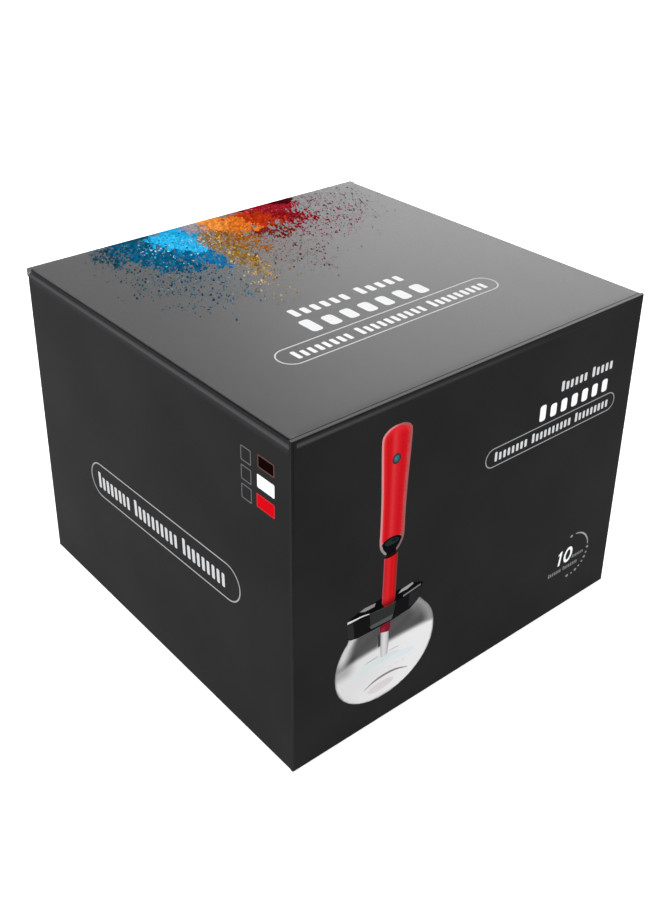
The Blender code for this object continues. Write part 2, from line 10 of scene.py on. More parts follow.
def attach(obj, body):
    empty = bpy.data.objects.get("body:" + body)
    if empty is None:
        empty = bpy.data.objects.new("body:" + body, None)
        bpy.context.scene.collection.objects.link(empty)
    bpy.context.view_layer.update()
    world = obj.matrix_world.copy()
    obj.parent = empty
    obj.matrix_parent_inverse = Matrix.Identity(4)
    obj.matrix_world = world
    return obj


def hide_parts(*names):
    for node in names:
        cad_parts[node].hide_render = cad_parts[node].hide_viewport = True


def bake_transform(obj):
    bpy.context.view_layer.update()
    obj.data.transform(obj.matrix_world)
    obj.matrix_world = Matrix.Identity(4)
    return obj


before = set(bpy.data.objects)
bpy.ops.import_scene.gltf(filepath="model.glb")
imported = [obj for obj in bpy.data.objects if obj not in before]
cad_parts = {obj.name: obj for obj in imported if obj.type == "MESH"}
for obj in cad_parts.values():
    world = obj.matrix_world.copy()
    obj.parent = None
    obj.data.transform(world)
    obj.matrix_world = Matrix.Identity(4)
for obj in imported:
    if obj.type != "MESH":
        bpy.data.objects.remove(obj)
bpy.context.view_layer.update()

# A printed tuck-top carton that holds a brush cleaning kit. Lengths are in millimetres
# until a mesh is made; +Z is up, -Y is the face with the picture, -X the left face.

MM = 0.001

# Half the carton's width and depth, its height, its board and its hinge lines
HALF = 80.0
HEIGHT = 127.0
BOARD = 1.5
INNER = HALF - BOARD
LID_HINGE_Z = 125.5
TUCK_HINGE_Y = -76.7
TUCK_LEAN = 7.0
DUST_HINGE_Z = 123.7
# A fold takes this much of each of its boards
STRIP = 2.3
# No ink at all, and the sRGB grey of a painted highlight along a fold's rounded outside
BARE = (0.0, 0.0, 0.0, 0.0)
FOLD_HIGHLIGHT_GREY = (72, 72, 74)

SCENE = bpy.context.scene
PIECES = bpy.data.collections.new("pieces")
SCENE.collection.children.link(PIECES)


# ---------------------------------------------------------------- making meshes

def new_piece(name, mesh, materials, body, replaced=()):
    """Put a mesh in the scene, riding on its body and standing for its CAD nodes."""
    item = bpy.data.objects.new(name, mesh)
    PIECES.objects.link(item)
    for material in materials:
        mesh.materials.append(material)
    if body is not None:
        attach(item, body)
    if replaced:
        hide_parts(*replaced)
    return item


def plain_mesh(name, bm):
    mesh = bpy.data.meshes.new(name)
    bm.to_mesh(mesh)
    bm.free()
    return mesh


def finish_mesh(name, bm, angle=35.0):
    """A mesh with smooth faces, kept sharp where they meet at more than the angle."""
    mesh = plain_mesh(name, bm)
    mesh.shade_smooth()
    mesh.set_sharp_from_angle(angle=math.radians(angle))
    return mesh


def join_rings(bm, near, far):
    """Faces between two rings of vertices; a ring of one vertex closes to a point."""
    count = max(len(near), len(far))
    made = []
    for k in range(count if count > 1 else 0):
        after = (k + 1) % count
        if len(near) == 1:
            corners = (near[0], far[after], far[k])
        elif len(far) == 1:
            corners = (near[k], near[after], far[0])
        else:
            corners = (near[k], near[after], far[after], far[k])
        made.append(bm.faces.new(corners))
    return made


def bevel(item, width, segments=3, angle=40.0, weighted=False):
    """Round the edges that meet at more than the angle, or those with a bevel weight."""
    step = item.modifiers.new("bevel", "BEVEL")
    step.width = width * MM
    step.segments = segments
    step.use_clamp_overlap = True
    step.harden_normals = True
    step.miter_outer = "MITER_ARC"
    if weighted:
        step.limit_method = "WEIGHT"
    else:
        step.limit_method = "ANGLE"
        step.angle_limit = math.radians(angle)


def area(points):
    """Signed area of a polygon; positive when it runs anticlockwise."""
    total = 0.0
    for (x1, y1), (x2, y2) in zip(points, points[1:] + points[:1]):
        total += x1 * y2 - x2 * y1
    return total / 2


def anticlockwise(points):
    points = list(points)
    if area(points) < 0:
        points.reverse()
    return points


def linear(colour):
    """An sRGB colour of 0 to 255 as linear values of 0 to 1."""
    values = []
    for part in colour:
        share = min(max(part / 255.0, 0.0), 1.0)
        values.append(share / 12.92 if share <= 0.04045 else ((share + 0.055) / 1.055) ** 2.4)
    return tuple(values)


def smooth(low, high, value):
    """0 below low, 1 above high, and a soft step between them."""
    share = min(max((value - low) / (high - low), 0.0), 1.0)
    return share * share * (3 - 2 * share)


def blend_colours(first, second, share):
    return tuple(a + (b - a) * share for a, b in zip(first, second))


def stops(table, value):
    """Read a colour from (position, colour) stops."""
    if value <= table[0][0]:
        return table[0][1]
    for (low, first), (high, second) in zip(table, table[1:]):
        if value <= high:
            return blend_colours(first, second, (value - low) / (high - low))
    return table[-1][1]


def curve_through(points, steps=6, closed=False):
    """A smooth line through the points (Catmull-Rom), with a few steps between each two."""
    count = len(points)
    spans = count if closed else count - 1
    line = []
    for k in range(spans):
        if closed:
            ends = [points[(k + j) % count] for j in (-1, 0, 1, 2)]
        else:
            ends = [points[min(max(k + j, 0), count - 1)] for j in (-1, 0, 1, 2)]
        for step in range(steps):
            t = step / steps
            row = []
            for a, b, c, d in zip(*ends):
                value = 2 * b + (c - a) * t + (2 * a - 5 * b + 4 * c - d) * t * t
                value += (3 * b - a - 3 * c + d) * t * t * t
                row.append(value / 2)
            line.append(tuple(row))
    if not closed:
        line.append(tuple(points[-1]))
    return line


# ---------------------------------------------------------------- ink

class Artwork:
    """Inks on one panel, in millimetres right and down from the panel's top left corner."""

    def __init__(self, top=HEIGHT):
        self.top = top
        self.layers = []
        self.dots = []

    def to_panel(self, point):
        return (point[0] - HALF, self.top - point[1])

    def ink(self, points, paint):
        """A flat or shaded area; paint is a colour, a function of (x, y), or None for bare."""
        self.layers.append((list(points), paint))

    def shaded(self, points, paint, step):
        """An area whose colour changes across it, with extra points to carry the change."""
        self.ink(points, paint)
        xs = [x for x, _ in points]
        ys = [y for _, y in points]
        rows = int((max(ys) - min(ys)) / step)
        for row in range(1, rows + 1):
            y = min(ys) + row * step
            columns = int((max(xs) - min(xs)) / step)
            for column in range(1, columns + 1):
                x = min(xs) + (column - 0.5 * (row % 2)) * step
                self.dots.append((x, y))


def swing(x, y, turn, about):
    """A point that lies (x, y) away from about, swung round it."""
    return (about[0] + x * math.cos(turn) - y * math.sin(turn),
            about[1] + x * math.sin(turn) + y * math.cos(turn))


def turned_about(points, about, turn):
    return [swing(x - about[0], y - about[1], turn, about) for x, y in points]


def ellipse(cx, cy, rx, ry, count=24, turn=0.0):
    angles = [math.tau * k / count for k in range(count)]
    return [swing(rx * math.cos(angle), ry * math.sin(angle), turn, (cx, cy))
            for angle in angles]


def rounded_box(x0, y0, x1, y1, radius, steps=5):
    """A rectangle with round corners."""
    corners = ((x1 - radius, y1 - radius, 0), (x0 + radius, y1 - radius, 90),
               (x0 + radius, y0 + radius, 180), (x1 - radius, y0 + radius, 270))
    points = []
    for x, y, start in corners:
        for k in range(steps + 1):
            angle = math.radians(start + 90 * k / steps)
            points.append((x + radius * math.cos(angle), y + radius * math.sin(angle)))
    return points


def band(line, width):
    """A closed outline around an open line; width is a number or one per point."""
    left = []
    right = []
    for k, (x, y) in enumerate(line):
        before = line[max(k - 1, 0)]
        after = line[min(k + 1, len(line) - 1)]
        dx = after[0] - before[0]
        dy = after[1] - before[1]
        size = math.hypot(dx, dy)
        half = (width[k] if isinstance(width, (list, tuple)) else width) / 2
        left.append((x - dy / size * half, y + dx / size * half))
        right.append((x + dy / size * half, y - dx / size * half))
    return left + right[::-1]


def swelling_band(line, thin, extra):
    """A band that is thin at its ends and thicker by extra in its middle."""
    last = len(line) - 1
    return band(line, [thin + extra * math.sin(math.pi * k / last) for k in range(last + 1)])


# ---------------------------------------------------------------- printed board

def board(name, outline, place, body, sheet, artwork=None, rounded=(), replaced=(),
          bare_edges=None, painted_sheen_edges=()):
    """A flat sheet of board: printed outside, plain inside, bare at its cut edges.

    place turns (u, v, depth) into a point; sheet turns (u, v) into the pattern's own
    coordinates; rounded lists (edge of the outline, radius) of folds and edges rounded by wear;
    edges that aren't in bare_edges keep their film, and by default all of them are bare;
    painted_sheen_edges lists (edge, grey at its start, grey at its end) for a painted sheen on
    that film.
    """
    outline = anticlockwise(outline)
    points = list(outline)
    faces = [list(range(len(outline)))]
    paints = [None]
    if artwork:
        for shape, paint in artwork.layers:
            ring = anticlockwise(artwork.to_panel(point) for point in shape)
            faces.append(list(range(len(points), len(points) + len(ring))))
            points.extend(ring)
            paints.append(paint)
        points.extend(artwork.to_panel(point) for point in artwork.dots)
    result = delaunay_2d_cdt([Vector(point) for point in points], [], faces, 1, 1e-5)
    flat, _, triangles, originals, _, covers = result
    bm = bmesh.new()
    ink_layer = bm.loops.layers.float_color.new("ink")
    sheet_layer = bm.verts.layers.float_vector.new("sheet")
    weight_layer = bm.edges.layers.float.new("bevel_weight_edge")

    def vertex(u, v, depth):
        made = bm.verts.new(Vector(place(u, v, depth)) * MM)
        made[sheet_layer] = Vector(sheet(u, v))
        return made

    outer = [vertex(point.x, point.y, 0.0) for point in flat]
    corner = {}
    for index, inputs in enumerate(originals):
        for number in inputs:
            if number < len(outline):
                corner[number] = outer[index]
    for triangle, cover in zip(triangles, covers):
        if not cover:
            continue
        face = bm.faces.new([outer[index] for index in triangle])
        paint = paints[max(cover)]
        for loop, index in zip(face.loops, triangle):
            if paint is None:
                loop[ink_layer] = BARE
                continue
            colour = paint
            if callable(paint):
                x = flat[index].x + HALF
                y = artwork.top - flat[index].y
                colour = paint(x, y)
            strength = colour[3] if len(colour) > 3 else 1.0
            loop[ink_layer] = (*linear(colour[:3]), strength)
    back = [vertex(u, v, BOARD) for u, v in outline]
    inside = bm.faces.new(back[::-1])
    inside.material_index = 1
    count = len(outline)
    for k in range(count):
        after = (k + 1) % count
        edge_face = bm.faces.new((corner[after], corner[k], back[k], back[after]))
        edge_face.material_index = 2 if bare_edges is None or k in bare_edges else 0
    for face in bm.faces:
        if face.material_index or len(face.verts) == 4:
            for loop in face.loops:
                loop[ink_layer] = BARE
        # painted sheen: each listed edge's faces are inked a grey running from start to end,
        # standing in for a reflection
        for k, start, end in painted_sheen_edges:
            ends = {corner[k]: start, back[k]: start}
            ends.update({corner[(k + 1) % count]: end, back[(k + 1) % count]: end})
            if set(face.verts) == set(ends):
                for loop in face.loops:
                    loop[ink_layer] = (*linear((ends[loop.vert],) * 3), 1.0)
    bm.edges.ensure_lookup_table()
    widest = max([radius for _, radius in rounded], default=1.0)
    for k, radius in rounded:
        edge = bm.edges.get((corner[k], corner[(k + 1) % count]))
        edge[weight_layer] = radius / widest
    bm.normal_update()
    item = new_piece(name, finish_mesh(name, bm), BOARDS, body, replaced)
    if rounded:
        bevel(item, widest, segments=5, weighted=True)
    return item


def crease(name, section_outer, section_inner, span, place, sheet, highlight_share=None):
    """The fold between two boards: a skin over the outer line and inner line, run along span.

    worn says how strong a painted highlight, inked in a paler grey, is at each point of the outer
    line.
    """
    bm = bmesh.new()
    ink_layer = bm.loops.layers.float_color.new("ink")
    sheet_layer = bm.verts.layers.float_vector.new("sheet")
    lengths = [0.0]
    for before, after in zip(section_outer, section_outer[1:]):
        lengths.append(lengths[-1] + math.dist(after, before))
    runs = [length - lengths[-1] / 2 for length in lengths] + [0.0] * len(section_inner)
    section = list(zip(section_outer + section_inner[::-1], runs))
    lines = []
    steps = 24
    for number in range(steps + 1):
        along = span[0] + (span[1] - span[0]) * number / steps
        lines.append([])
        for point, run in section:
            made = bm.verts.new(Vector(place(along, *point)) * MM)
            made[sheet_layer] = Vector(sheet(along, run))
            lines[-1].append(made)
    # film on the outer skin, bare board on the inner one, cut edges where they meet
    outer_count = len(section_outer)
    count = len(lines[0])
    looks = [0] * (outer_count - 1) + [2] + [1] * (count - outer_count - 1) + [2]
    for near, far in zip(lines, lines[1:]):
        for face, look in zip(join_rings(bm, near, far), looks):
            face.material_index = look
    for row in (lines[0], lines[-1]):
        bm.faces.new(row)
    # painted highlight: the outer skin is inked a lighter grey where the fold rounds over
    fold_highlight_colour = linear(FOLD_HIGHLIGHT_GREY)
    strength = {}
    for row in lines:
        for k, made in enumerate(row):
            strength[made] = highlight_share[k] if highlight_share and k < outer_count else 0.0
    for face in bm.faces:
        for loop in face.loops:
            loop[ink_layer] = (*fold_highlight_colour, strength[loop.vert])
    bmesh.ops.recalc_face_normals(bm, faces=bm.faces)
    return new_piece(name, finish_mesh(name, bm, 30.0), BOARDS, None)


# ---------------------------------------------------------------- materials

class Shader:
    """A node material being built; each helper adds a node and returns its output."""

    def __init__(self, name):
        self.material = bpy.data.materials.new(name)
        self.material.use_nodes = True
        self.tree = self.material.node_tree
        self.surface = self.tree.nodes["Principled BSDF"]

    def put(self, socket, value):
        """Link a node's output to the socket, or set the socket to a number or a colour."""
        if isinstance(value, bpy.types.NodeSocket):
            self.tree.links.new(value, socket)
        elif isinstance(value, (tuple, list)) and len(value) == 3 and socket.type == "RGBA":
            socket.default_value = (*value, 1.0)
        else:
            socket.default_value = value

    def node(self, kind, inputs=None, **settings):
        node = self.tree.nodes.new(kind)
        for key, value in settings.items():
            setattr(node, key, value)
        for key, value in (inputs or {}).items():
            self.put(node.inputs[key], value)
        return node

    def set(self, **inputs):
        """Set the surface's own inputs; an underscore stands for a space."""
        for key, value in inputs.items():
            self.put(self.surface.inputs[key.replace("_", " ")], value)

    def attribute(self, name):
        return self.node("ShaderNodeAttribute", attribute_name=name)

    def rest(self):
        """The object's own coordinates in millimetres; they don't change with the pose."""
        source = self.node("ShaderNodeTexCoord").outputs["Object"]
        return self.vector("SCALE", source, scale=1.0 / MM)

    def vector(self, operation, first, second=None, scale=None):
        node = self.node("ShaderNodeVectorMath", operation=operation)
        self.put(node.inputs[0], first)
        if second is not None:
            self.put(node.inputs[1], second)
        if scale is not None:
            self.put(node.inputs["Scale"], scale)
        return node.outputs["Value" if operation in ("LENGTH", "DOT_PRODUCT") else "Vector"]

    def math(self, operation, first, second=0.0):
        node = self.node("ShaderNodeMath", operation=operation)
        self.put(node.inputs[0], first)
        self.put(node.inputs[1], second)
        return node.outputs[0]

    def times(self, first, second):
        return self.math("MULTIPLY", first, second)

    def plus(self, first, second):
        return self.math("ADD", first, second)

    def minus(self, first, second):
        return self.math("SUBTRACT", first, second)

    def noise(self, where, scale, detail=3.0, roughness=0.5):
        inputs = {"Vector": where, "Scale": scale, "Detail": detail, "Roughness": roughness}
        return self.node("ShaderNodeTexNoise", inputs).outputs["Fac"]

    def cells(self, where, scale):
        """Cells of random size: the distance to each one's middle, and its random colour."""
        node = self.node("ShaderNodeTexVoronoi", {"Vector": where, "Scale": scale})
        return node.outputs["Distance"], node.outputs["Color"]

    def span(self, value, low, high, out_low=0.0, out_high=1.0, soft=True):
        """Carry low..high to out_low..out_high, in a soft step or in a straight line."""
        kind = "SMOOTHSTEP" if soft else "LINEAR"
        node = self.node("ShaderNodeMapRange", interpolation_type=kind)
        for key, number in (("Value", value), ("From Min", low), ("From Max", high),
                            ("To Min", out_low), ("To Max", out_high)):
            self.put(node.inputs[key], number)
        return node.outputs["Result"]

    def mix(self, share, first, second, blend_type="MIX"):
        node = self.node("ShaderNodeMix", data_type="RGBA", blend_type=blend_type)
        self.put(node.inputs["Factor"], share)
        self.put(node.inputs[6], first)
        self.put(node.inputs[7], second)
        return node.outputs[2]

    def scalar_mix(self, share, first, second):
        node = self.node("ShaderNodeMix", data_type="FLOAT")
        self.put(node.inputs[0], share)
        self.put(node.inputs[2], first)
        self.put(node.inputs[3], second)
        return node.outputs[0]

    def ramp(self, value, table):
        node = self.node("ShaderNodeValToRGB", {"Fac": value})
        elements = node.color_ramp.elements
        elements[0].position, elements[0].color = table[0][0], (*table[0][1], 1.0)
        elements[1].position, elements[1].color = table[-1][0], (*table[-1][1], 1.0)
        for position, colour in table[1:-1]:
            elements.new(position).color = (*colour, 1.0)
        return node.outputs["Color"]

    def bump(self, height, distance, strength):
        inputs = {"Height": height, "Distance": distance * MM, "Strength": strength}
        return self.node("ShaderNodeBump", inputs).outputs["Normal"]

    def split(self, where):
        return self.node("ShaderNodeSeparateXYZ", {"Vector": where}).outputs


def powder_blob(shader, where, centre, size, turn, ragged, soft):
    """A cloud of powder: 1 in its middle, fading out unevenly along its edge."""
    cos = math.cos(math.radians(turn))
    sin = math.sin(math.radians(turn))
    moved = shader.vector("SUBTRACT", where, (*centre, 0.0))
    along = shader.vector("DOT_PRODUCT", moved, (cos / size[0], sin / size[0], 0.0))
    across = shader.vector("DOT_PRODUCT", moved, (-sin / size[1], cos / size[1], 0.0))
    squares = shader.plus(shader.times(along, along),
                          shader.times(across, across))
    reach = shader.plus(shader.math("SQRT", squares), ragged)
    return shader.span(reach, 1.0 + soft, 1.0 - soft)


CLOUDS = (
    # centre, half size, turn, softness, sRGB colour, how solid
    ((34, 6), (18, 10), 105, 0.5, (22, 62, 80), 0.6),
    ((43, 8), (22, 12), 100, 0.4, (12, 78, 108), 0.85),
    ((47, 24), (20, 12), 75, 0.45, (12, 86, 122), 0.8),
    ((58, 28), (20, 7), 80, 0.35, (16, 104, 152), 0.85),
    ((60, 8), (15, 10), 120, 0.35, (28, 158, 214), 1.0),
    ((58, 15), (15, 6), 75, 0.3, (44, 178, 232), 1.0),
    ((70, 34), (24, 6), 97, 0.5, (140, 104, 42), 0.55),
    ((80, 22), (20, 8), 85, 0.5, (150, 92, 34), 0.75),
    ((93, 21), (19, 8), 62, 0.5, (112, 32, 24), 0.7),
    ((104, 12), (19, 10), 50, 0.5, (132, 18, 26), 0.95),
    ((112, 3), (12, 9), 20, 0.35, (150, 24, 36), 1.0),
    ((119, 1), (6, 6), 20, 0.35, (76, 8, 20), 1.0),
    ((96, 11), (14, 8), 60, 0.35, (176, 48, 18), 1.0),
    ((85, 9), (14, 8), 72, 0.35, (214, 112, 34), 1.0),
    ((80, 4), (10, 7), 90, 0.3, (232, 140, 62), 1.0),
    ((71, 3), (5, 8), 10, 0.5, (150, 140, 146), 0.8),
)
SPRAYS = (
    # centre, half size, turn, softness, share of the flecks that are there
    ((45, 22), (32, 21), 100, 0.5, 0.85),
    ((44, 40), (34, 22), 100, 0.6, 0.6),
    ((57, 56), (26, 14), 100, 0.6, 0.5),
    ((71, 40), (27, 6.5), 98, 0.4, 0.95),
    ((88, 38), (28, 16), 95, 0.6, 0.65),
    ((104, 24), (26, 16), 55, 0.5, 0.85),
    ((126, 14), (26, 20), 40, 0.6, 0.75),
    ((138, 8), (18, 14), 20, 0.7, 0.45),
    ((129, 33), (24, 5.5), 142, 0.5, 0.7),
    ((88, 30), (66, 40), 0, 0.7, 0.12),
)
# Flecks' sRGB colours from the left to the right, the dark ones and the bright ones
DARK_FLECKS = ((0.2, (18, 54, 70)), (0.41, (14, 46, 78)), (0.45, (84, 62, 34)),
               (0.5, (104, 70, 28)), (0.55, (72, 38, 34)), (0.66, (70, 34, 44)),
               (0.78, (72, 36, 52)), (0.95, (72, 56, 64)))
BRIGHT_FLECKS = ((0.2, (44, 78, 86)), (0.36, (34, 100, 122)), (0.42, (70, 128, 146)),
                 (0.45, (226, 204, 150)), (0.5, (206, 152, 40)), (0.56, (150, 92, 60)),
                 (0.66, (146, 74, 84)), (0.78, (138, 46, 80)), (0.95, (112, 84, 94)))


# How strongly the bare film shines on the walls and on the lid
WALL_SHEEN = 0.012
LID_SHEEN = 0.3


def linear_stops(table):
    return tuple((position, linear(colour)) for position, colour in table)


def powder(shader, sheet, base):
    """The powder burst on the lid: its colour over base, and how much of base it covers.

    Clouds of colour break up at their edges into flecks that point away from the burst.
    """
    lean = shader.vector("DOT_PRODUCT", sheet, (0.85, 0.52, 0.0))
    ray = shader.vector("DOT_PRODUCT", sheet, (-0.52, 0.85, 0.0))
    rays = shader.node("ShaderNodeCombineXYZ", {"X": lean, "Y": shader.times(ray, 0.4)})
    rays = rays.outputs[0]
    streak = shader.noise(rays, 0.3, 5.0, 0.65)
    ragged = shader.times(shader.minus(streak, 0.5), 2.0)
    on_top = shader.span(shader.split(sheet)[2], 0.4, 0.6)
    colour = base
    cover = 0.0
    for scale in (1.8, 1.05):
        distance, chance = shader.cells(rays, scale)
        chance = shader.split(chance)
        present = 0.0
        for centre, size, turn, soft, strength in SPRAYS:
            blob = powder_blob(shader, sheet, centre, size, turn, ragged, soft)
            present = shader.math("MAXIMUM", shader.times(blob, strength), present)
        there = shader.minus(present, shader.times(chance[0], 1.05))
        there = shader.span(there, 0.0, 0.08)
        size = shader.plus(0.26, shader.times(chance[2], 0.3))
        gap = shader.minus(size, distance)
        share = shader.times(there, shader.span(gap, 0.0, 0.12))
        share = shader.times(share, on_top)
        along = shader.plus(shader.vector("DOT_PRODUCT", sheet, (1 / 160, 0.17 / 160, 0.0)),
                            shader.times(chance[2], 0.02))
        tint = shader.mix(shader.span(chance[1], 0.35, 1.0, soft=False),
                          shader.ramp(along, linear_stops(DARK_FLECKS)),
                          shader.ramp(along, linear_stops(BRIGHT_FLECKS)))
        colour = shader.mix(share, colour, tint)
        cover = shader.math("MAXIMUM", share, cover)
    chance = shader.split(shader.cells(rays, 1.1)[1])
    shades = shader.span(chance[1], 0.0, 1.0, 0.62, 1.25, soft=False)
    for centre, size, turn, soft, tint, solid in CLOUDS:
        blob = powder_blob(shader, sheet, centre, size, turn, ragged, soft)
        share = shader.times(shader.times(blob, solid), on_top)
        broken = shader.minus(share, shader.times(chance[0], 0.75))
        share = shader.span(broken, 0.0, 0.22)
        shade = shader.mix(1.0, linear(tint), shades, "MULTIPLY")
        colour = shader.mix(share, colour, shade)
        cover = shader.math("MAXIMUM", share, cover)
    return colour, cover


def laminate():
    """Dark soft-touch film over the print; it's glossier on the lid, and inks don't shine."""
    shader = Shader("printed_laminate")
    ink = shader.attribute("ink")
    sheet = shader.attribute("sheet").outputs["Vector"]
    on_lid = shader.span(shader.split(sheet)[2], 0.4, 0.6)
    fine = shader.noise(sheet, 2.6, 4.0, 0.6)
    broad = shader.noise(sheet, 0.03, 2.0)
    base = shader.mix(shader.span(broad, 0.3, 0.7), linear((28, 28, 29)), linear((32, 32, 33)))
    colour, cover = powder(shader, sheet, base)
    colour = shader.mix(ink.outputs["Alpha"], colour, ink.outputs["Color"])
    printed = shader.math("MAXIMUM", cover, ink.outputs["Alpha"])
    sheen = shader.scalar_mix(on_lid, WALL_SHEEN, LID_SHEEN)
    shader.set(Base_Color=colour,
               Roughness=shader.span(fine, 0.2, 0.8, 0.39, 0.47),
               Specular_IOR_Level=shader.scalar_mix(printed, sheen, 0.0),
               Normal=shader.bump(fine, 0.012, 0.35))
    return shader.material


def inside_board():
    """The uncoated grey-white back of the board, with short paper fibres."""
    shader = Shader("uncoated_board")
    where = shader.attribute("sheet").outputs["Vector"]
    stretched = shader.vector("MULTIPLY", where, (0.35, 1.6, 1.0))
    fibres = shader.noise(stretched, 1.6, 5.0, 0.7)
    clumps = shader.noise(where, 0.16, 4.0, 0.6)
    flecks = shader.span(shader.cells(where, 0.42)[0], 0.06, 0.02)
    colour = shader.mix(shader.span(fibres, 0.3, 0.7), (0.53, 0.515, 0.485), (0.63, 0.615, 0.58))
    colour = shader.mix(shader.times(shader.span(clumps, 0.35, 0.7), 0.3), colour,
                        (0.48, 0.46, 0.43))
    colour = shader.mix(shader.times(flecks, 0.35), colour, (0.28, 0.26, 0.24))
    shader.set(Base_Color=colour, Roughness=0.88, Specular_IOR_Level=0.25,
               Normal=shader.bump(fibres, 0.05, 0.5))
    return shader.material


def cut_edge():
    """Charcoal-dyed board where it was cut, with the plies showing as fine lines."""
    shader = Shader("board_cut_edge")
    where = shader.rest()
    plies = shader.noise(shader.vector("MULTIPLY", where, (3.0, 3.0, 3.0)), 1.0, 4.0, 0.7)
    colour = shader.mix(shader.span(plies, 0.3, 0.7), (0.006, 0.006, 0.006), (0.014, 0.014, 0.014))
    shader.set(Base_Color=colour, Roughness=0.9, Specular_IOR_Level=0.15,
               Normal=shader.bump(plies, 0.06, 0.6))
    return shader.material


def moulded(name, colour, roughness, texture=0.03, scale=1.6, metallic=0.0, coat=0.0,
            variation=0.08, specular=0.5):
    """A moulded plastic or rubber: a faint mottle in colour and gloss, and a fine grain."""
    shader = Shader(name)
    where = shader.rest()
    grain = shader.noise(where, scale, 4.0, 0.6)
    mottle = shader.noise(where, 0.12, 3.0, 0.55)
    dark = tuple(part * (1 - variation) for part in colour)
    light = tuple(min(part * (1 + variation), 1.0) for part in colour)
    tint = shader.mix(shader.span(mottle, 0.3, 0.7), dark, light)
    shader.set(Base_Color=tint, Metallic=metallic, Specular_IOR_Level=specular,
               Roughness=shader.span(grain, 0.2, 0.8, roughness * 0.88, roughness * 1.12),
               Normal=shader.bump(grain, texture, 0.5))
    if coat:
        shader.set(Coat_Weight=coat, Coat_Roughness=0.08)
    return shader.material


def glass():
    """Clear pressed glass, faintly green in its thickness, with soft draw lines."""
    shader = Shader("clear_glass")
    where = shader.rest()
    waves = shader.noise(shader.vector("MULTIPLY", where, (1.0, 1.0, 0.3)), 0.08, 2.0)
    smudge = shader.noise(where, 0.3, 5.0, 0.65)
    facing = shader.node("ShaderNodeLayerWeight", {"Blend": 0.5}).outputs["Facing"]
    steep = shader.times(facing, facing)
    tint = shader.mix(steep, (0.86, 0.9, 0.9), (0.55, 0.66, 0.63))
    shader.set(Base_Color=tint, IOR=1.5, Alpha=shader.span(steep, 0.0, 1.0, 0.1, 0.7, soft=False),
               Roughness=shader.span(smudge, 0.55, 0.8, 0.015, 0.06),
               Normal=shader.bump(waves, 0.25, 0.3))
    return shader.material


def brushed(name, colour, roughness, direction=(1.0, 1.0, 0.05)):
    """Metal with fine drawn or rolled lines."""
    shader = Shader(name)
    where = shader.vector("MULTIPLY", shader.rest(), direction)
    lines = shader.noise(where, 2.4, 4.0, 0.7)
    blotch = shader.noise(shader.rest(), 0.25, 3.0, 0.6)
    tint = shader.mix(shader.span(blotch, 0.3, 0.7), tuple(part * 0.86 for part in colour), colour)
    shader.set(Base_Color=tint, Metallic=1.0,
               Roughness=shader.span(lines, 0.2, 0.8, roughness * 0.8, roughness * 1.25),
               Normal=shader.bump(lines, 0.02, 0.35))
    return shader.material


def tray_film():
    """White vacuum-formed sheet: satin, a little uneven where the film was drawn down."""
    shader = Shader("formed_film")
    where = shader.rest()
    pull = shader.noise(shader.vector("MULTIPLY", where, (1.0, 1.0, 0.22)), 0.16, 3.0, 0.6)
    grain = shader.noise(where, 1.4, 4.0, 0.6)
    colour = shader.mix(shader.span(pull, 0.3, 0.7), (0.72, 0.73, 0.735), (0.8, 0.805, 0.81))
    shader.set(Base_Color=colour, Specular_IOR_Level=0.5, Subsurface_Weight=0.08,
               Subsurface_Radius=(1.0, 1.0, 1.0), Subsurface_Scale=0.0012,
               Roughness=shader.span(pull, 0.3, 0.7, 0.28, 0.4),
               Normal=shader.bump(shader.plus(pull, shader.times(grain, 0.1)),
                                  0.12, 0.4))
    return shader.material


def circuit():
    """Green solder mask with copper tracks under it."""
    shader = Shader("circuit_laminate")
    where = shader.rest()
    tracks = shader.node("ShaderNodeTexBrick", {"Vector": where, "Scale": 0.42,
                                                "Mortar Size": 0.05, "Color1": (1, 1, 1),
                                                "Color2": (1, 1, 1), "Mortar": (0, 0, 0)})
    weave = shader.noise(where, 1.8, 3.0)
    mask = shader.mix(shader.span(weave, 0.3, 0.7), (0.008, 0.10, 0.04), (0.012, 0.14, 0.055))
    colour = shader.mix(tracks.outputs["Color"], (0.05, 0.23, 0.09), mask)
    shader.set(Base_Color=colour, Roughness=0.35,
               Normal=shader.bump(tracks.outputs["Fac"], 0.04, 0.5))
    return shader.material


def cell_wrap():
    """Shrink film on a battery: dark blue with a copper-coloured end band."""
    shader = Shader("cell_wrap")
    where = shader.rest()
    along = shader.split(where)[1]
    end = shader.span(along, 29.0, 29.4)
    wrinkle = shader.noise(shader.vector("MULTIPLY", where, (1.0, 0.2, 1.0)), 0.9, 3.0)
    colour = shader.mix(end, (0.02, 0.045, 0.13), (0.55, 0.30, 0.12))
    shader.set(Base_Color=colour, Roughness=shader.span(wrinkle, 0.2, 0.8, 0.22, 0.34),
               Normal=shader.bump(wrinkle, 0.05, 0.35))
    return shader.material


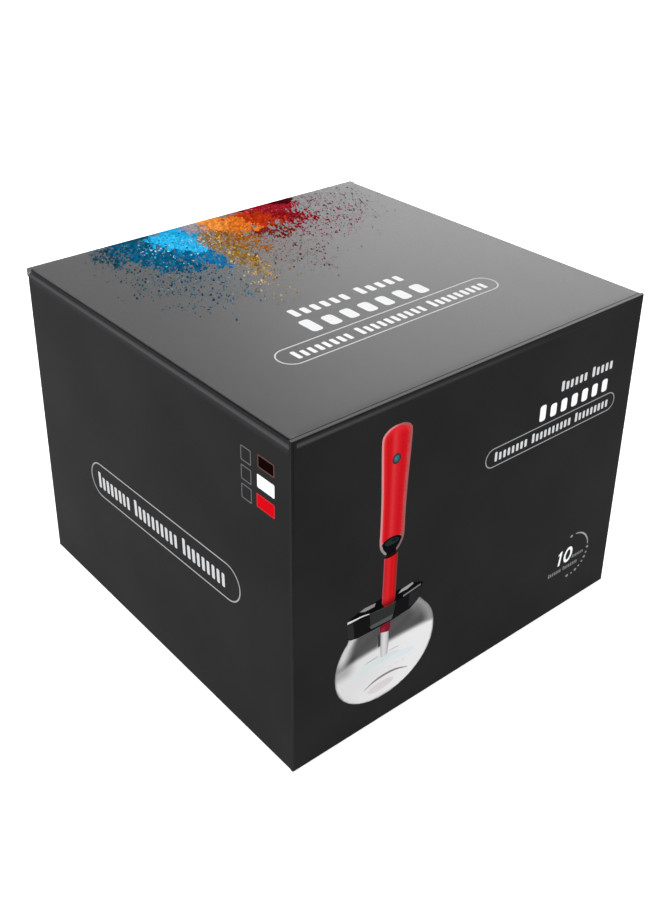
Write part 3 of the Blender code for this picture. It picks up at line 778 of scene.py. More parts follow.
LAMINATE = laminate()
INSIDE = inside_board()
EDGE = cut_edge()
BOARDS = (LAMINATE, INSIDE, EDGE)
FILM = tray_film()
GLASS = glass()
RED = moulded("red_gloss_plastic", (0.56, 0.008, 0.014), 0.2, texture=0.02, coat=0.6)
SILVER = moulded("silver_plastic", (0.56, 0.55, 0.55), 0.3, texture=0.02, scale=3.0,
                 metallic=0.55, variation=0.04)
BLACK = moulded("black_plastic", (0.011, 0.011, 0.012), 0.36, texture=0.05, variation=0.15)
RUBBER = moulded("black_rubber", (0.018, 0.018, 0.018), 0.72, texture=0.09, scale=1.1,
                 variation=0.2, specular=0.3)
TEAL = moulded("teal_plastic", (0.05, 0.14, 0.15), 0.38, texture=0.04)
STEEL = brushed("plated_steel", (0.56, 0.57, 0.58), 0.3)
CONTACT = brushed("contact_metal", (0.66, 0.60, 0.46), 0.26, (1.0, 0.05, 1.0))
CIRCUIT = circuit()
WRAP = cell_wrap()
FERRITE = moulded("sintered_ferrite", (0.045, 0.045, 0.05), 0.6, texture=0.12, scale=1.4,
                  metallic=0.5, variation=0.25)


# ---------------------------------------------------------------- what is printed

WHITE = (236, 237, 238)
SMALL_PRINT = (200, 201, 203)
SIDE_PRINT = (182, 183, 185)
BACK_PRINT = (168, 169, 171)
LINE = (150, 151, 153)
SIDE_LINE = (144, 145, 147)
LID_LINE = (206, 207, 209)
RIM_LEFT = (196, 128, 130)
RIM_RIGHT = (150, 84, 82)
HANDLE_TURN = -0.011


def word_blocks(art, x0, x1, y0, y1, words, turn=0.0, paint=WHITE, seed=1, about=None):
    """Stand-ins for a line of words: one small rounded block for each letter's place."""
    dice = random.Random(seed)
    letters = sum(words)
    gap_between_words = 0.8
    pitch = (x1 - x0) / (letters + gap_between_words * (len(words) - 1))
    tall = y1 - y0
    about = about or ((x0 + x1) / 2, (y0 + y1) / 2)
    x = x0
    for size in words:
        for number in range(size):
            width = pitch * dice.uniform(0.54, 0.6)
            top = y0 if number == 0 else y0 + 0.2 * tall
            shape = rounded_box(x, top, x + width, y1, min(width, tall) * 0.3, steps=3)
            art.ink(turned_about(shape, about, turn), paint)
            x += pitch
        x += gap_between_words * pitch


def pill(art, x0, x1, y0, y1, line=0.45, turn=0.0, paint=LINE):
    """A long rounded outline, as a light shape with a bare one inside it."""
    radius = (y1 - y0) / 2
    middle = ((x0 + x1) / 2, (y0 + y1) / 2)
    for inset, look in ((0.0, paint), (line, None)):
        shape = rounded_box(x0 + inset, y0 + inset, x1 - inset, y1 - inset, radius - inset, 9)
        art.ink(turned_about(shape, middle, turn), look)


# Outline of the pictured handle: (down from the panel's top, half its width)
HANDLE_RIM = ((9.3, 0.0), (9.45, 2.0), (10.1, 4.0), (11.3, 5.6), (13.0, 6.3), (18.0, 6.25),
              (25.0, 5.9), (35.0, 5.45), (45.0, 5.3), (50.5, 5.35), (53.2, 5.0), (55.2, 3.9),
              (56.6, 2.7))
HANDLE_FACE = ((9.9, 0.0), (10.1, 1.9), (10.8, 3.6), (12.0, 5.0), (13.6, 5.5), (18.0, 5.4),
               (25.0, 5.05), (35.0, 4.6), (45.0, 4.45), (51.2, 4.4))
RED_ACROSS = ((-1.0, (228, 66, 74)), (-0.8, (206, 24, 30)), (-0.45, (204, 22, 29)),
              (-0.15, (220, 58, 62)), (0.1, (214, 34, 42)), (0.5, (203, 20, 30)),
              (0.85, (206, 30, 38)), (0.95, (214, 84, 86)), (1.0, (186, 60, 62)))
SPINDLE_ACROSS = ((-1.0, (196, 84, 98)), (-0.72, (186, 34, 44)), (-0.4, (214, 40, 44)),
                  (-0.1, (228, 34, 36)), (0.2, (196, 24, 32)), (0.5, (214, 28, 34)),
                  (0.8, (168, 28, 30)), (1.0, (136, 57, 52)))


def handle_axis(y):
    return 40.75 + (y - 9.3) * HANDLE_TURN


def half_width(table, y):
    """The half width of a shape at a height, read from its outline."""
    for (low, first), (high, second) in zip(table, table[1:]):
        if low <= y <= high:
            return first + (second - first) * (y - low) / (high - low)
    return table[-1][1] if y > table[-1][0] else table[0][1]


def mirrored(table):
    """The handle's outline with both sides, from one side's points."""
    line = curve_through(table, 3)
    left = [(handle_axis(y) - w, y) for y, w in line]
    right = [(handle_axis(y) + w, y) for y, w in line[1:]]
    return left + right[::-1]


def dimmed(colour):
    return tuple(part * 0.91 for part in colour)


def pictured_handle(art):
    """The handle: a pale rim round its red face, the round button and a small lamp."""
    def rim_paint(x, y):
        side = (x - handle_axis(y)) / max(half_width(HANDLE_RIM, y), 1.0)
        glint = smooth(50.0, 54.0, y)
        left = blend_colours(RIM_LEFT, (136, 130, 132), glint)
        right = blend_colours(RIM_RIGHT, (120, 96, 98), glint)
        return blend_colours(left, right, smooth(-0.8, 0.8, side))

    def face_paint(x, y):
        side = (x - handle_axis(y)) / max(half_width(HANDLE_FACE, y), 1.2)
        colour = stops(RED_ACROSS, side)
        lit = smooth(9.5, 14.0, y) * (1 - smooth(46.0, 52.0, y) * 0.12)
        return blend_colours((210, 40, 48), dimmed(colour), lit)

    art.shaded(mirrored(HANDLE_RIM), rim_paint, 1.6)
    art.shaded(mirrored(HANDLE_FACE), face_paint, 0.8)
    for right, down, rx, ry, steps, paint in ((0.15, 21.5, 1.8, 1.9, 24, (44, 46, 54)),
                                              (0.15, 21.5, 1.25, 1.35, 24, (50, 88, 94)),
                                              (-0.1, 21.3, 0.6, 0.7, 12, (66, 112, 116)),
                                              (0.25, 28.4, 0.5, 0.55, 12, (186, 34, 42))):
        art.ink(ellipse(handle_axis(21.5) + right, down, rx, ry, steps), paint)


def pictured_nose(art):
    """The black nose below the handle."""
    axis = handle_axis(54)
    top = ellipse(axis, 52.4, 4.3, 1.9, 20, 0.05)
    bottom = ((axis + 4.2, 52.4), (axis + 3.5, 54.2), (axis + 2.1, 55.8), (axis + 1.8, 58.0),
              (axis - 1.9, 58.0), (axis - 2.2, 56.0), (axis - 3.6, 54.2), (axis - 4.2, 52.2))
    art.ink(bottom, (14, 15, 16))
    art.ink(top, (12, 13, 14))
    art.ink(ellipse(axis, 52.5, 3.1, 1.25, 18, 0.05), (30, 42, 40))
    art.ink(ellipse(axis + 1.2, 52.2, 1.2, 0.6, 12, 0.2), (20, 24, 40))


def pictured_spindle(art):
    """The red fluted spindle, standing in front of the ring's far side."""
    def spindle_paint(x, y):
        colour = dimmed(stops(SPINDLE_ACROSS, (x - handle_axis(y) + 0.1) / 3.0))
        return blend_colours(colour, (96, 12, 16), smooth(74.6, 77.6, y) * 0.75)

    low = handle_axis(77.5)
    high = handle_axis(57.6)
    sides = ((high - 3.0, 57.9), (high + 3.0, 57.9), (low + 3.0, 76.6), (low + 2.4, 77.9),
             (low, 78.4), (low - 2.0, 77.6), (low - 3.0, 75.8))
    art.shaded(sides, spindle_paint, 0.7)
    art.ink(ellipse(high, 57.8, 2.6, 0.7, 16), (40, 12, 14))


BOWL_MIDDLE = (39.65, 97.5)


def bowl_half_width(y):
    """Half the pictured bowl's width at a height; it is a little squarer than an ellipse."""
    height = 19.3 if y < BOWL_MIDDLE[1] else 19.1
    share = min(abs(y - BOWL_MIDDLE[1]) / height, 1.0)
    return 22.35 * (1 - share ** 2.15) ** 0.5


def bowl_paint(x, y):
    """Dark glass above, then the bright water and floor of the bowl, with lit edges."""
    side = (x - BOWL_MIDDLE[0]) / max(bowl_half_width(y), 0.5)
    from_left = (side + 1) / 2
    dark = 76 + 10 * math.sin(x * 0.4 + y * 0.9) * 0.3
    dark += 34 * smooth(92.0, 84.0, y) * smooth(0.25, 0.0, abs(side - 0.75))
    bright = 206 + 12 * smooth(0.15, 0.85, from_left)
    line = 93.6 + 1.1 * side * side
    water = smooth(line - 1.4, line + 1.3, y)
    value = dark + (bright - dark) * water
    # the lit crescents at both sides
    left = smooth(0.66, 0.9, -side) * (1 - water * 0.6)
    right = smooth(0.74, 0.94, side) * (1 - water)
    value += (205 - value) * left * 0.9 + (150 - value) * right * 0.8
    value += (222 - value) * smooth(0.9, 0.7, abs(side)) * smooth(104, 113, y) * 0.5
    # grey along the water line at the left, and the dark outer edge
    value -= 46 * smooth(0.55, 0.8, -side) * smooth(5.5, 1.0, abs(y - 95.5))
    down = max(y - BOWL_MIDDLE[1], 0.0) / 19.1
    edge = smooth(0.965, 1.01, math.hypot(side * (1 - down), down))
    edge = max(edge, smooth(0.965, 1.0, abs(side)))
    value += (118 - value) * edge
    return (value, value, value + 1)


# Grey marks on the water and the floor: middle, half size, steps, turn, sRGB colour
BOWL_MARKS = (
    (47.0, 102.4, 6.5, 1.5, 20, 0.12, (207, 213, 219)),
    (33.6, 97.9, 3.2, 0.32, 14, -0.06, (176, 170, 172)),
    (43.4, 98.1, 2.6, 0.32, 14, 0.06, (196, 184, 186)),
    (31.5, 106.3, 0.9, 0.45, 12, 0.0, (212, 206, 214)),
    (35.2, 105.9, 1.3, 0.45, 12, 0.0, (212, 206, 214)),
    (38.4, 106.0, 0.8, 0.45, 12, 0.0, (212, 206, 214)),
    (42.0, 105.6, 1.2, 0.45, 12, 0.0, (212, 206, 214)),
    (45.2, 105.4, 1.1, 0.45, 12, 0.0, (212, 206, 214)),
    (48.2, 105.6, 0.9, 0.45, 12, 0.0, (212, 206, 214)),
    (38.0, 111.6, 6.0, 1.8, 20, 0.0, (205, 198, 200)),
)
STIR_LINE = ((24.0, 102.2), (30.0, 100.6), (37.0, 99.9), (43.0, 100.3), (47.0, 101.6))
FLOOR_LINE = ((30.4, 109.6), (34.4, 108.1), (39.6, 107.6), (45.0, 108.2), (50.6, 110.3))
BRUSH_ACROSS = ((-1.0, (166, 164, 166)), (-0.2, (204, 203, 204)), (0.6, (188, 186, 187)),
                (1.0, (136, 132, 134)))


def pictured_bowl(art):
    rows = (84.9, 86, 88, 90, 92, 94.5, 97.5, 100.5, 103.5, 106, 108.5, 110.7, 112.6, 114.2,
            115.5, 116.2)
    neck = (23.4, 54.6)
    left = [(neck[0], 82.0)] + [(BOWL_MIDDLE[0] - bowl_half_width(y), y) for y in rows]
    right = [(neck[1], 82.0)] + [(BOWL_MIDDLE[0] + bowl_half_width(y), y) for y in rows]
    foot = [(BOWL_MIDDLE[0] - 3.0, 116.6), (BOWL_MIDDLE[0] + 3.0, 116.6)]
    art.shaded(left + foot + right[::-1], bowl_paint, 0.8)
    art.ink(swelling_band(curve_through(STIR_LINE, 4), 1.2, 1.9), (200, 209, 208))
    for *shape, paint in BOWL_MARKS:
        art.ink(ellipse(*shape), paint)
    art.ink(swelling_band(curve_through(FLOOR_LINE, 5), 0.15, 0.85), (128, 118, 120))


def pictured_brush(art):
    """The brush in the bowl: its dark edge, its grey handle and its red grip."""
    def handle_paint(x, y):
        return stops(BRUSH_ACROSS, (x - 38.9) / 1.8)

    art.ink(((35.6, 88.4), (37.2, 88.4), (37.2, 93.8), (36.1, 93.8)), (56, 57, 58))
    handle = ((37.0, 88.2), (40.7, 88.2), (40.5, 98.6), (39.8, 99.2), (38.0, 99.2), (37.3, 98.6))
    art.shaded(handle, handle_paint, 0.8)
    art.ink(((36.4, 84.6), (41.2, 84.6), (41.2, 88.2), (40.6, 89.2), (38.4, 88.6),
             (36.8, 88.0)), (112, 24, 38))
    art.ink(((37.0, 86.6), (38.9, 86.4), (38.8, 88.4), (37.4, 88.2)), (146, 30, 44))


# The pictured ring's planes from the back to the front: outline and sRGB colour
RING_SIDES = (
    (((21.8, 76.4), (55.2, 76.6), (54.7, 81.0), (53.6, 82.6), (50.0, 84.6), (42.0, 85.2),
      (33.0, 85.0), (27.0, 84.8), (23.6, 84.0), (22.2, 82.6)), (20, 20, 21)),
    (((21.9, 76.9), (24.6, 77.6), (25.4, 84.2), (23.6, 83.6), (22.3, 82.4)), (40, 41, 42)),
    (((31.8, 77.6), (43.4, 77.9), (42.6, 82.4), (41.8, 84.8), (32.8, 84.2), (32.2, 82.0)),
     (44, 46, 46)),
    (((31.9, 82.6), (42.4, 82.8), (41.8, 84.7), (32.6, 84.1)), (74, 78, 76)),
    (((49.6, 78.0), (55.0, 77.6), (54.4, 81.2), (53.2, 82.8), (49.4, 83.6)), (36, 37, 38)),
)
RING_TOP = ((22.0, 75.9), (25.2, 74.6), (30.0, 73.8), (38.6, 73.5), (47.0, 73.8), (52.4, 74.6),
            (55.4, 75.9), (54.6, 77.0), (47.0, 77.8), (38.8, 78.1), (30.4, 77.8), (23.2, 77.2))
RING_GLINTS = (
    (((27.2, 74.3), (29.6, 73.8), (34.2, 74.1), (33.8, 75.4), (29.6, 75.3)), (132, 129, 130)),
    (((44.3, 75.4), (45.6, 74.3), (50.6, 73.8), (51.2, 74.6), (48.4, 75.5)), (150, 149, 150)),
)


def pictured_ring(art):
    """The black splash ring on the bowl, with its lit rim and slanted inner planes."""
    top = (curve_through(RING_TOP, 3, closed=True), (12, 12, 13))
    for shape, paint in (*RING_SIDES, top, *RING_GLINTS):
        art.ink(shape, paint)
    bright = curve_through(((22.2, 76.3), (25.0, 76.5), (28.6, 76.7), (31.6, 77.3)), 4)
    art.ink(band(bright, [1.0 - 0.06 * k for k in range(len(bright))]), (196, 196, 197))
    dim = curve_through(((46.6, 77.6), (50.4, 77.1), (54.6, 76.6)), 4)
    art.ink(band(dim, 0.7), (112, 112, 113))
    art.ink(band(((31.6, 77.5), (37.0, 78.0), (43.4, 78.1)), 0.35), (58, 60, 60))


def timer_mark(art):
    """A dial for a ten-second cycle: the number, an arc and its dots."""
    slant = 0.16
    one = ((0.9, 0.0), (2.0, 0.0), (2.0, 6.4), (1.2, 6.4), (0.0, 5.4), (0.1, 4.7), (0.9, 5.0))
    art.ink([(128.3 + x + slant * y, 105.8 - y) for x, y in one], WHITE)
    for rx, ry, paint in ((2.45, 3.4, WHITE), (1.3, 2.2, None)):
        zero = ellipse(0.0, 0.0, rx, ry, 22)
        art.ink([(134.9 + x - slant * y, 102.6 + y) for x, y in zero], paint)

    def on_dial(degrees):
        angle = math.radians(degrees)
        return (137.2 + 9.5 * math.cos(angle), 103.8 - 9.5 * math.sin(angle))

    arc = [on_dial(84 - 78 * k / 18) for k in range(19)]
    art.ink(swelling_band(arc, 0.35, 0.35), (150, 151, 152))
    for degrees, size in ((99, 0.75), (-3, 0.7), (-18, 0.55), (-30, 0.7), (-42, 0.55),
                          (-55, 0.55), (-68, 0.75), (-82, 0.5), (-98, 0.75)):
        art.ink(ellipse(*on_dial(degrees), size, size * 0.8, 12), (138, 139, 140))
    grey = (128, 129, 130)
    word_blocks(art, 137.6, 144.4, 104.0, 105.6, (7,), paint=grey, seed=21)
    word_blocks(art, 124.2, 141.4, 107.3, 109.2, (7, 8), paint=grey, seed=22)


def top_edge_shade_and_highlight(art):
    """The front panel's top: painted shade as a dark line at its very edge, and a paler band of
    painted highlight below it.
    """
    def paint(x, y):
        fade = stops(((2.0, (0.85,)), (40.0, (0.5,)), (90.0, (0.32,)), (118.0, (0.0,))), x)[0]
        # painted shade: a dark line at the very edge, in the groove under the lid's edge
        if y < 1.0:
            return (20, 20, 20, smooth(0.2, 0.6, y) * 0.7)
        # painted highlight: a paler band on the rounded top, fading towards the right
        return (74, 74, 76, fade * smooth(1.0, 1.7, y) * smooth(2.9, 2.0, y))

    left, right = 1.6, 158.4
    levels = (0.2, 0.6, 1.0, 1.4, 1.8, 2.3, 2.9)
    for high, low in zip(levels, levels[1:]):
        art.ink([(left, high), (right, high), (right, low), (left, low)], paint)
        for k in range(1, 20):
            art.dots.append((left + (right - left) * k / 20, high))


def front_artwork():
    art = Artwork()
    top_edge_shade_and_highlight(art)
    pictured_handle(art)
    pictured_nose(art)
    pictured_bowl(art)
    pictured_brush(art)
    pictured_ring(art)
    pictured_spindle(art)
    word_blocks(art, 118.6, 147.4, 21.4, 25.4, (6, 5), paint=SMALL_PRINT, seed=2)
    word_blocks(art, 108.2, 147.4, 27.6, 33.9, (7,), seed=3)
    pill(art, 82.0, 150.5, 35.6, 43.2, line=0.4)
    word_blocks(art, 86.6, 147.4, 37.5, 41.2, (8, 10, 9), paint=SMALL_PRINT, seed=4)
    timer_mark(art)
    return art


def side_artwork():
    """The pill, three boxes to tick and three colour swatches."""
    art = Artwork()
    pill_turn = -0.035
    pill(art, 37.0, 133.0, 63.6, 78.4, line=0.55, turn=pill_turn, paint=SIDE_LINE)
    word_blocks(art, 42.5, 125.5, 67.6, 74.4, (8, 10, 9), turn=pill_turn, paint=SIDE_PRINT,
                seed=5, about=(85.0, 71.0))
    grey = (92, 93, 95)
    boxes = ((143.6, 11.7, 151.6, 16.2, 0.35, (96, 66, 62), (15, 6, 5)),
             (143.2, 18.7, 151.6, 23.4, 0.35, (224, 224, 224), (232, 232, 232)),
             (142.8, 25.7, 151.6, 30.6, 0.35, (184, 40, 46), (180, 10, 20)),
             (135.1, 12.4, 140.3, 17.7, 0.4, grey, None),
             (135.1, 19.2, 140.3, 24.5, 0.4, grey, None),
             (135.1, 26.0, 140.3, 31.3, 0.4, grey, None))
    for x0, y0, x1, y1, line, frame_paint, paint in boxes:
        art.ink(rounded_box(x0, y0, x1, y1, 0.3, 1), frame_paint)
        art.ink(rounded_box(x0 + line, y0 + line, x1 - line, y1 - line, 0.2, 1), paint)
    return art


# Specks around the powder burst: box (left, top, right, bottom), how many, lean of the
# flecks in degrees from straight down, smallest and largest length, sRGB colours
SPECKS = (
    ((38, 1, 66, 34), 260, 28, 0.5, 2.0, ((18, 92, 128), (24, 132, 172), (14, 58, 84),
                                        (60, 196, 236), (12, 44, 62))),
    ((26, 2, 50, 56), 300, 26, 0.4, 1.6, ((22, 76, 98), (30, 66, 76), (20, 50, 66),
                                        (40, 104, 118), (92, 132, 140))),
    ((34, 26, 66, 74), 330, 30, 0.35, 1.4, ((30, 78, 104), (24, 52, 76), (66, 84, 108),
                                          (110, 132, 140), (42, 40, 66))),
    ((40, 14, 64, 36), 34, 28, 0.6, 1.5, ((206, 236, 244), (176, 222, 236), (228, 240, 244))),
    ((64, 16, 80, 66), 300, 24, 0.4, 2.0, ((206, 164, 58), (178, 132, 40), (128, 92, 34),
                                         (224, 190, 104), (96, 72, 44))),
    ((60, 14, 78, 30), 60, 30, 0.5, 1.6, ((214, 170, 176), (232, 214, 206), (190, 110, 40))),
    ((76, 24, 102, 62), 340, 36, 0.35, 1.5, ((84, 48, 52), (104, 60, 66), (64, 50, 60),
                                           (120, 74, 60), (58, 44, 44))),
    ((74, 4, 100, 30), 130, 34, 0.5, 1.9, ((246, 150, 60), (214, 84, 30), (240, 178, 80),
                                         (160, 40, 24))),
    ((94, 2, 124, 26), 150, 44, 0.5, 2.0, ((186, 34, 46), (122, 18, 30), (214, 60, 60),
                                         (84, 14, 28))),
    ((104, 2, 140, 48), 330, 48, 0.35, 1.5, ((122, 54, 82), (98, 42, 62), (150, 84, 112),
                                           (84, 56, 68), (140, 96, 110))),
    ((112, 24, 142, 46), 60, 52, 0.8, 2.4, ((142, 44, 78), (120, 36, 62), (160, 66, 96))),
    ((124, 1, 152, 36), 130, 48, 0.3, 1.1, ((116, 78, 92), (98, 70, 80), (134, 108, 116))),
    ((46, 56, 66, 80), 50, 26, 0.3, 1.2, ((58, 84, 96), (64, 72, 96), (88, 92, 96))),
    ((86, 54, 112, 76), 40, 36, 0.3, 1.1, ((104, 88, 90), (88, 80, 82))),
)


# The specks stop short of the fold along the lid's back edge
LID_FOLD_EDGE = 3.9


def burst_specks(art):
    """Flecks of powder, denser towards the burst, seeded so that they never change."""
    dice = random.Random(7)
    for (left, top, right, bottom), count, lean, small, large, colours in SPECKS:
        for _ in range(count):
            fall = dice.random() ** 1.5
            y = top + (bottom - top) * fall
            x = left + (right - left) * (0.5 + (dice.random() - 0.5) * (1.0 - 0.45 * fall))
            x -= (y - top) * 0.12
            length = small + (large - small) * dice.random() ** 2.2
            width = length * dice.uniform(0.35, 0.7)
            turn = math.radians(90 + lean + dice.uniform(-14, 14))
            colour = dice.choice(colours)
            sides = dice.choice((5, 6, 7))
            start = dice.random()
            shape = []
            for k in range(sides):
                angle = math.tau * (k + start) / sides
                far = dice.uniform(0.75, 1.15)
                shape.append(swing(math.cos(angle) * length / 2 * far,
                                   math.sin(angle) * width / 2 * far, turn, (x, y)))
            if min(down for _, down in shape) > LID_FOLD_EDGE:
                art.ink(shape, (*colour, dice.uniform(0.55, 0.95)))


def lid_artwork():
    art = Artwork(top=HALF)
    burst_specks(art)
    word_blocks(art, 51.5, 104.0, 91.6, 97.6, (6, 5), seed=6)
    word_blocks(art, 49.0, 106.4, 100.8, 110.2, (7,), seed=8)
    pill(art, 26.6, 127.0, 113.0, 124.4, line=0.55, turn=-0.012, paint=LID_LINE)
    word_blocks(art, 33.0, 122.4, 116.2, 121.6, (8, 10, 9), seed=9, turn=-0.012)
    return art


def back_artwork():
    """A plain specification panel: rules and blocks where the small print would be."""
    art = Artwork()
    pill(art, 46.0, 114.0, 30.0, 38.4, line=0.45)
    word_blocks(art, 51.0, 109.0, 32.4, 36.2, (8, 10, 9), seed=11)
    for row in range(7):
        y = 50.0 + row * 6.4
        words = (6, 9) if row % 2 else (8, 5, 7)
        for left, right, seed in ((30.0, 74.0 if row % 3 else 66.0, 30),
                                  (86.0, 128.0 if row % 2 else 120.0, 50)):
            word_blocks(art, left, right, y, y + 2.2, words, paint=BACK_PRINT, seed=seed + row)
    art.ink(rounded_box(79.8, 49.0, 80.2, 92.0, 0.2, 1), LINE)
    return art


# ---------------------------------------------------------------- carton

def front_place(u, v, depth):
    return (u, -HALF + depth, v)


def back_place(u, v, depth):
    return (-u, HALF - depth, v)


def left_place(u, v, depth):
    return (-HALF + depth, -u, v)


def right_place(u, v, depth):
    return (HALF - depth, u, v)


def top_place(u, v, depth):
    return (u, v, HEIGHT - depth)


def lid_sheet(u, v):
    """Sheet coordinates of the lid: right, and down from its back edge; 1 marks the burst."""
    return (u + HALF, HALF - v, 1.0)


def back_sheet(u, v):
    """The back panel's print runs on from the lid's, past the fold."""
    return (HALF - u, v - HEIGHT, 1.0)


def quarter(steps=8, last=90.0):
    return [math.radians(last * k / steps) for k in range(steps + 1)]


# A right-angled fold's section, out and up from its hinge line: up the wall, round the hinge
# line and in along the flap; and how strong the painted highlight is there on the dust flaps'
# folds
FOLD_OUTER = [(BOARD, -STRIP), *((BOARD * math.cos(a), BOARD * math.sin(a)) for a in quarter()),
              (-STRIP, BOARD)]
FOLD_INNER = [(0.0, -STRIP), (0.0, 0.0), (-STRIP, 0.0)]
FOLD_HIGHLIGHT_SHARE = (0.0, 0.25, 0.8, 1.0, 1.0, 0.9, 0.6, 0.25, 0.0, 0.0, 0.0)


# The carton's upright corners are round; its boards' outlines run anticlockwise from the
# bottom left, so edge 0 is the bottom, 1 the right, 2 the top and 3 the left
CORNER_RADIUS = 1.4


def carton_walls():
    """Four walls and the glued tab; a third sheet coordinate gives each a grain of its own."""
    def upright_sheet(half, top):
        return [(-half, 0), (half, 0), (half, top), (-half, top)]

    folds = ((0, CORNER_RADIUS), (1, CORNER_RADIUS), (3, CORNER_RADIUS))
    # the front wall's top edge gets a painted sheen, grey 132 at the right to 98 at the left, like
    # the lid's reflection
    board("wall_front", upright_sheet(HALF, HEIGHT - 0.1), front_place, "carton",
          lambda u, v: (u, v, 0.1), front_artwork(), rounded=(*folds, (2, 0.2)),
          replaced=("front_panel",), bare_edges=(0, 1, 3), painted_sheen_edges=((2, 132, 98),))
    board("wall_back", upright_sheet(HALF, LID_HINGE_Z - STRIP), back_place, "carton",
          back_sheet, back_artwork(), rounded=folds, replaced=("back_panel",))
    for name, place, number in (("left", left_place, 0.2), ("right", right_place, 0.3)):
        board("wall_" + name, upright_sheet(INNER, DUST_HINGE_Z - STRIP), place, "carton",
              lambda u, v, number=number: (u + 300, v, number), side_artwork(),
              rounded=((0, 0.4),), replaced=(name + "_panel",))
    glue = [(61.0, 6.0), (77.9, 9.0), (77.9, 113.0), (61.0, 116.0)]
    board("glue_tab", glue, lambda u, v, depth: (u, 78.3 - depth, v), "carton",
          lambda u, v: (u + 90, v, 0.0), replaced=("glue_flap",))


def carton_base():
    """Four bottom flaps: the front and back ones outside, the side ones resting on them.

    They are seen from below, so u runs to the left.
    """
    edge = INNER - 0.3
    front = [(-edge, -edge), (edge, -edge), (70, -5), (22, 12), (-22, 12), (-70, -5)]
    back = [(edge, edge), (-edge, edge), (-edge, 18), (-74, 14), (74, 14), (edge, 18)]
    side = [(edge, -76), (edge, 76), (20, 50), (8, 0), (20, -50)]

    def low(u, v, depth):
        return (-u, v, depth)

    def high(u, v, depth):
        return (-u, v, BOARD + 0.3 + depth)

    for name, points, place in (("front", front, low), ("back", back, low),
                                ("right", side, high),
                                ("left", [(-x, y) for x, y in side], high)):
        board("base_flap_" + name, [(-x, y) for x, y in points], place, "carton",
              lambda u, v: (u, v + 400, 0.0), replaced=("bottom_flap_" + name,))


def fold_blend(fold):
    """Bake the fold's placement into its mesh; nothing bends it between bodies."""
    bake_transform(fold)


def dust_flaps():
    reach = [(STRIP, -74.5), (14, -74.5), (20, -70), (50, -66), (50, 37.5), (STRIP, 74.7)]
    top = DUST_HINGE_Z + BOARD
    for name, side in (("left", -1), ("right", 1)):
        outline = [(side * (INNER - x), y) for x, y in reach]
        board("dust_flap_board_" + name, outline, lambda u, v, depth: (u, v, top - depth),
              "dust_" + name, lambda u, v: (u, v + 200, 0.0), replaced=("dust_flap_" + name,))

        def place(along, out, up, side=side):
            return (side * (INNER + out), along, DUST_HINGE_Z + up)

        # the dust flaps' folds carry a painted highlight along their rounded outside
        fold = crease("dust_fold_" + name, FOLD_OUTER, FOLD_INNER, (0.1 - INNER, INNER - 0.1),
                      place,
                      lambda along, run, side=side: (side * (72 + run), along + 200, 0.0),
                      highlight_share=FOLD_HIGHLIGHT_SHARE)
        fold_blend(fold)


def lid():
    """The lid, the fold to the back wall, the fold to the tuck flap, and the tuck flap."""
    side = HALF - 0.2
    shoulder = 76.0
    reach_out = 1.72
    front = TUCK_HINGE_Y - reach_out
    fold_front = TUCK_HINGE_Y + STRIP
    fold_back = INNER - STRIP
    outline = [(-side, front), (-shoulder, front), (-shoulder, fold_front),
               (shoulder, fold_front), (shoulder, front), (side, front), (side, fold_back),
               (-side, fold_back)]
    board("lid_board", outline, top_place, "lid", lid_sheet, lid_artwork(),
          rounded=((0, 0.15), (4, 0.15), (5, 0.8), (7, 0.8)), replaced=("lid_panel",),
          bare_edges=(5, 7))

    def back_fold_place(along, out, up):
        return (along, INNER + out, LID_HINGE_Z + up)

    fold = crease("lid_fold", FOLD_OUTER, FOLD_INNER, (-side, side), back_fold_place,
                  lambda along, run: (along + HALF, 1.2 - run, 1.0))
    fold_blend(fold)

    # front fold: along the lid, tightly round, and down the leaning tuck flap
    lean = math.radians(TUCK_LEAN)
    down = Vector((math.sin(lean), -math.cos(lean)))
    out = Vector((-math.cos(lean), -math.sin(lean)))
    outer = [(STRIP, BOARD)]
    tight = 0.15
    for angle in quarter(8, 90.0 + TUCK_LEAN):
        turn = math.pi / 2 + angle
        outer.append((tight - reach_out + tight * math.cos(turn),
                      BOARD - tight + tight * math.sin(turn)))
    outer.append(tuple(out * BOARD + down * STRIP))
    inner = [(STRIP, 0.0), (0.0, 0.0), tuple(down * STRIP)]

    def front_fold_place(along, across, up):
        return (along, TUCK_HINGE_Y + across, LID_HINGE_Z + up)

    fold = crease("tuck_fold_strip", outer, inner, (0.02 - shoulder, shoulder - 0.02),
                  front_fold_place, lambda along, run: (along + HALF, 157 + run, 1.0))
    hinge = Vector((0.0, TUCK_HINGE_Y, LID_HINGE_Z))
    fold_blend(fold)

    corner = 8.0
    reach = 22.0
    flap = [(-shoulder, STRIP)]
    flap += [(-shoulder + corner - corner * math.cos(a), reach - corner + corner * math.sin(a))
             for a in quarter(6)]
    flap += [(shoulder - corner + corner * math.sin(a), reach - corner + corner * math.cos(a))
             for a in quarter(6)]
    flap += [(shoulder, STRIP)]

    def tuck_place(u, v, depth):
        point = hinge.yz + down * (-v) + out * (BOARD - depth)
        return (u, point.x, point.y)

    board("tuck_flap_board", [(u, -v) for u, v in flap], tuck_place, "tuck",
          lambda u, v: (u + HALF, 160 - v, 1.0), replaced=("tuck_flap",))


carton_walls()
carton_base()
dust_flaps()
lid()




# ---------------------------------------------------------------- round shapes


def kit_piece(name, mesh, material, body, node):
    return new_piece(name, mesh, (material,), body, (node,))


def upright(centre):
    return lambda r, angle, h: (centre[0] + r * math.cos(angle), centre[1] + r * math.sin(angle),
                                centre[2] + h)


def along_y(centre):
    return lambda r, angle, h: (centre[0] + r * math.cos(angle), centre[1] + h,
                                centre[2] - r * math.sin(angle))


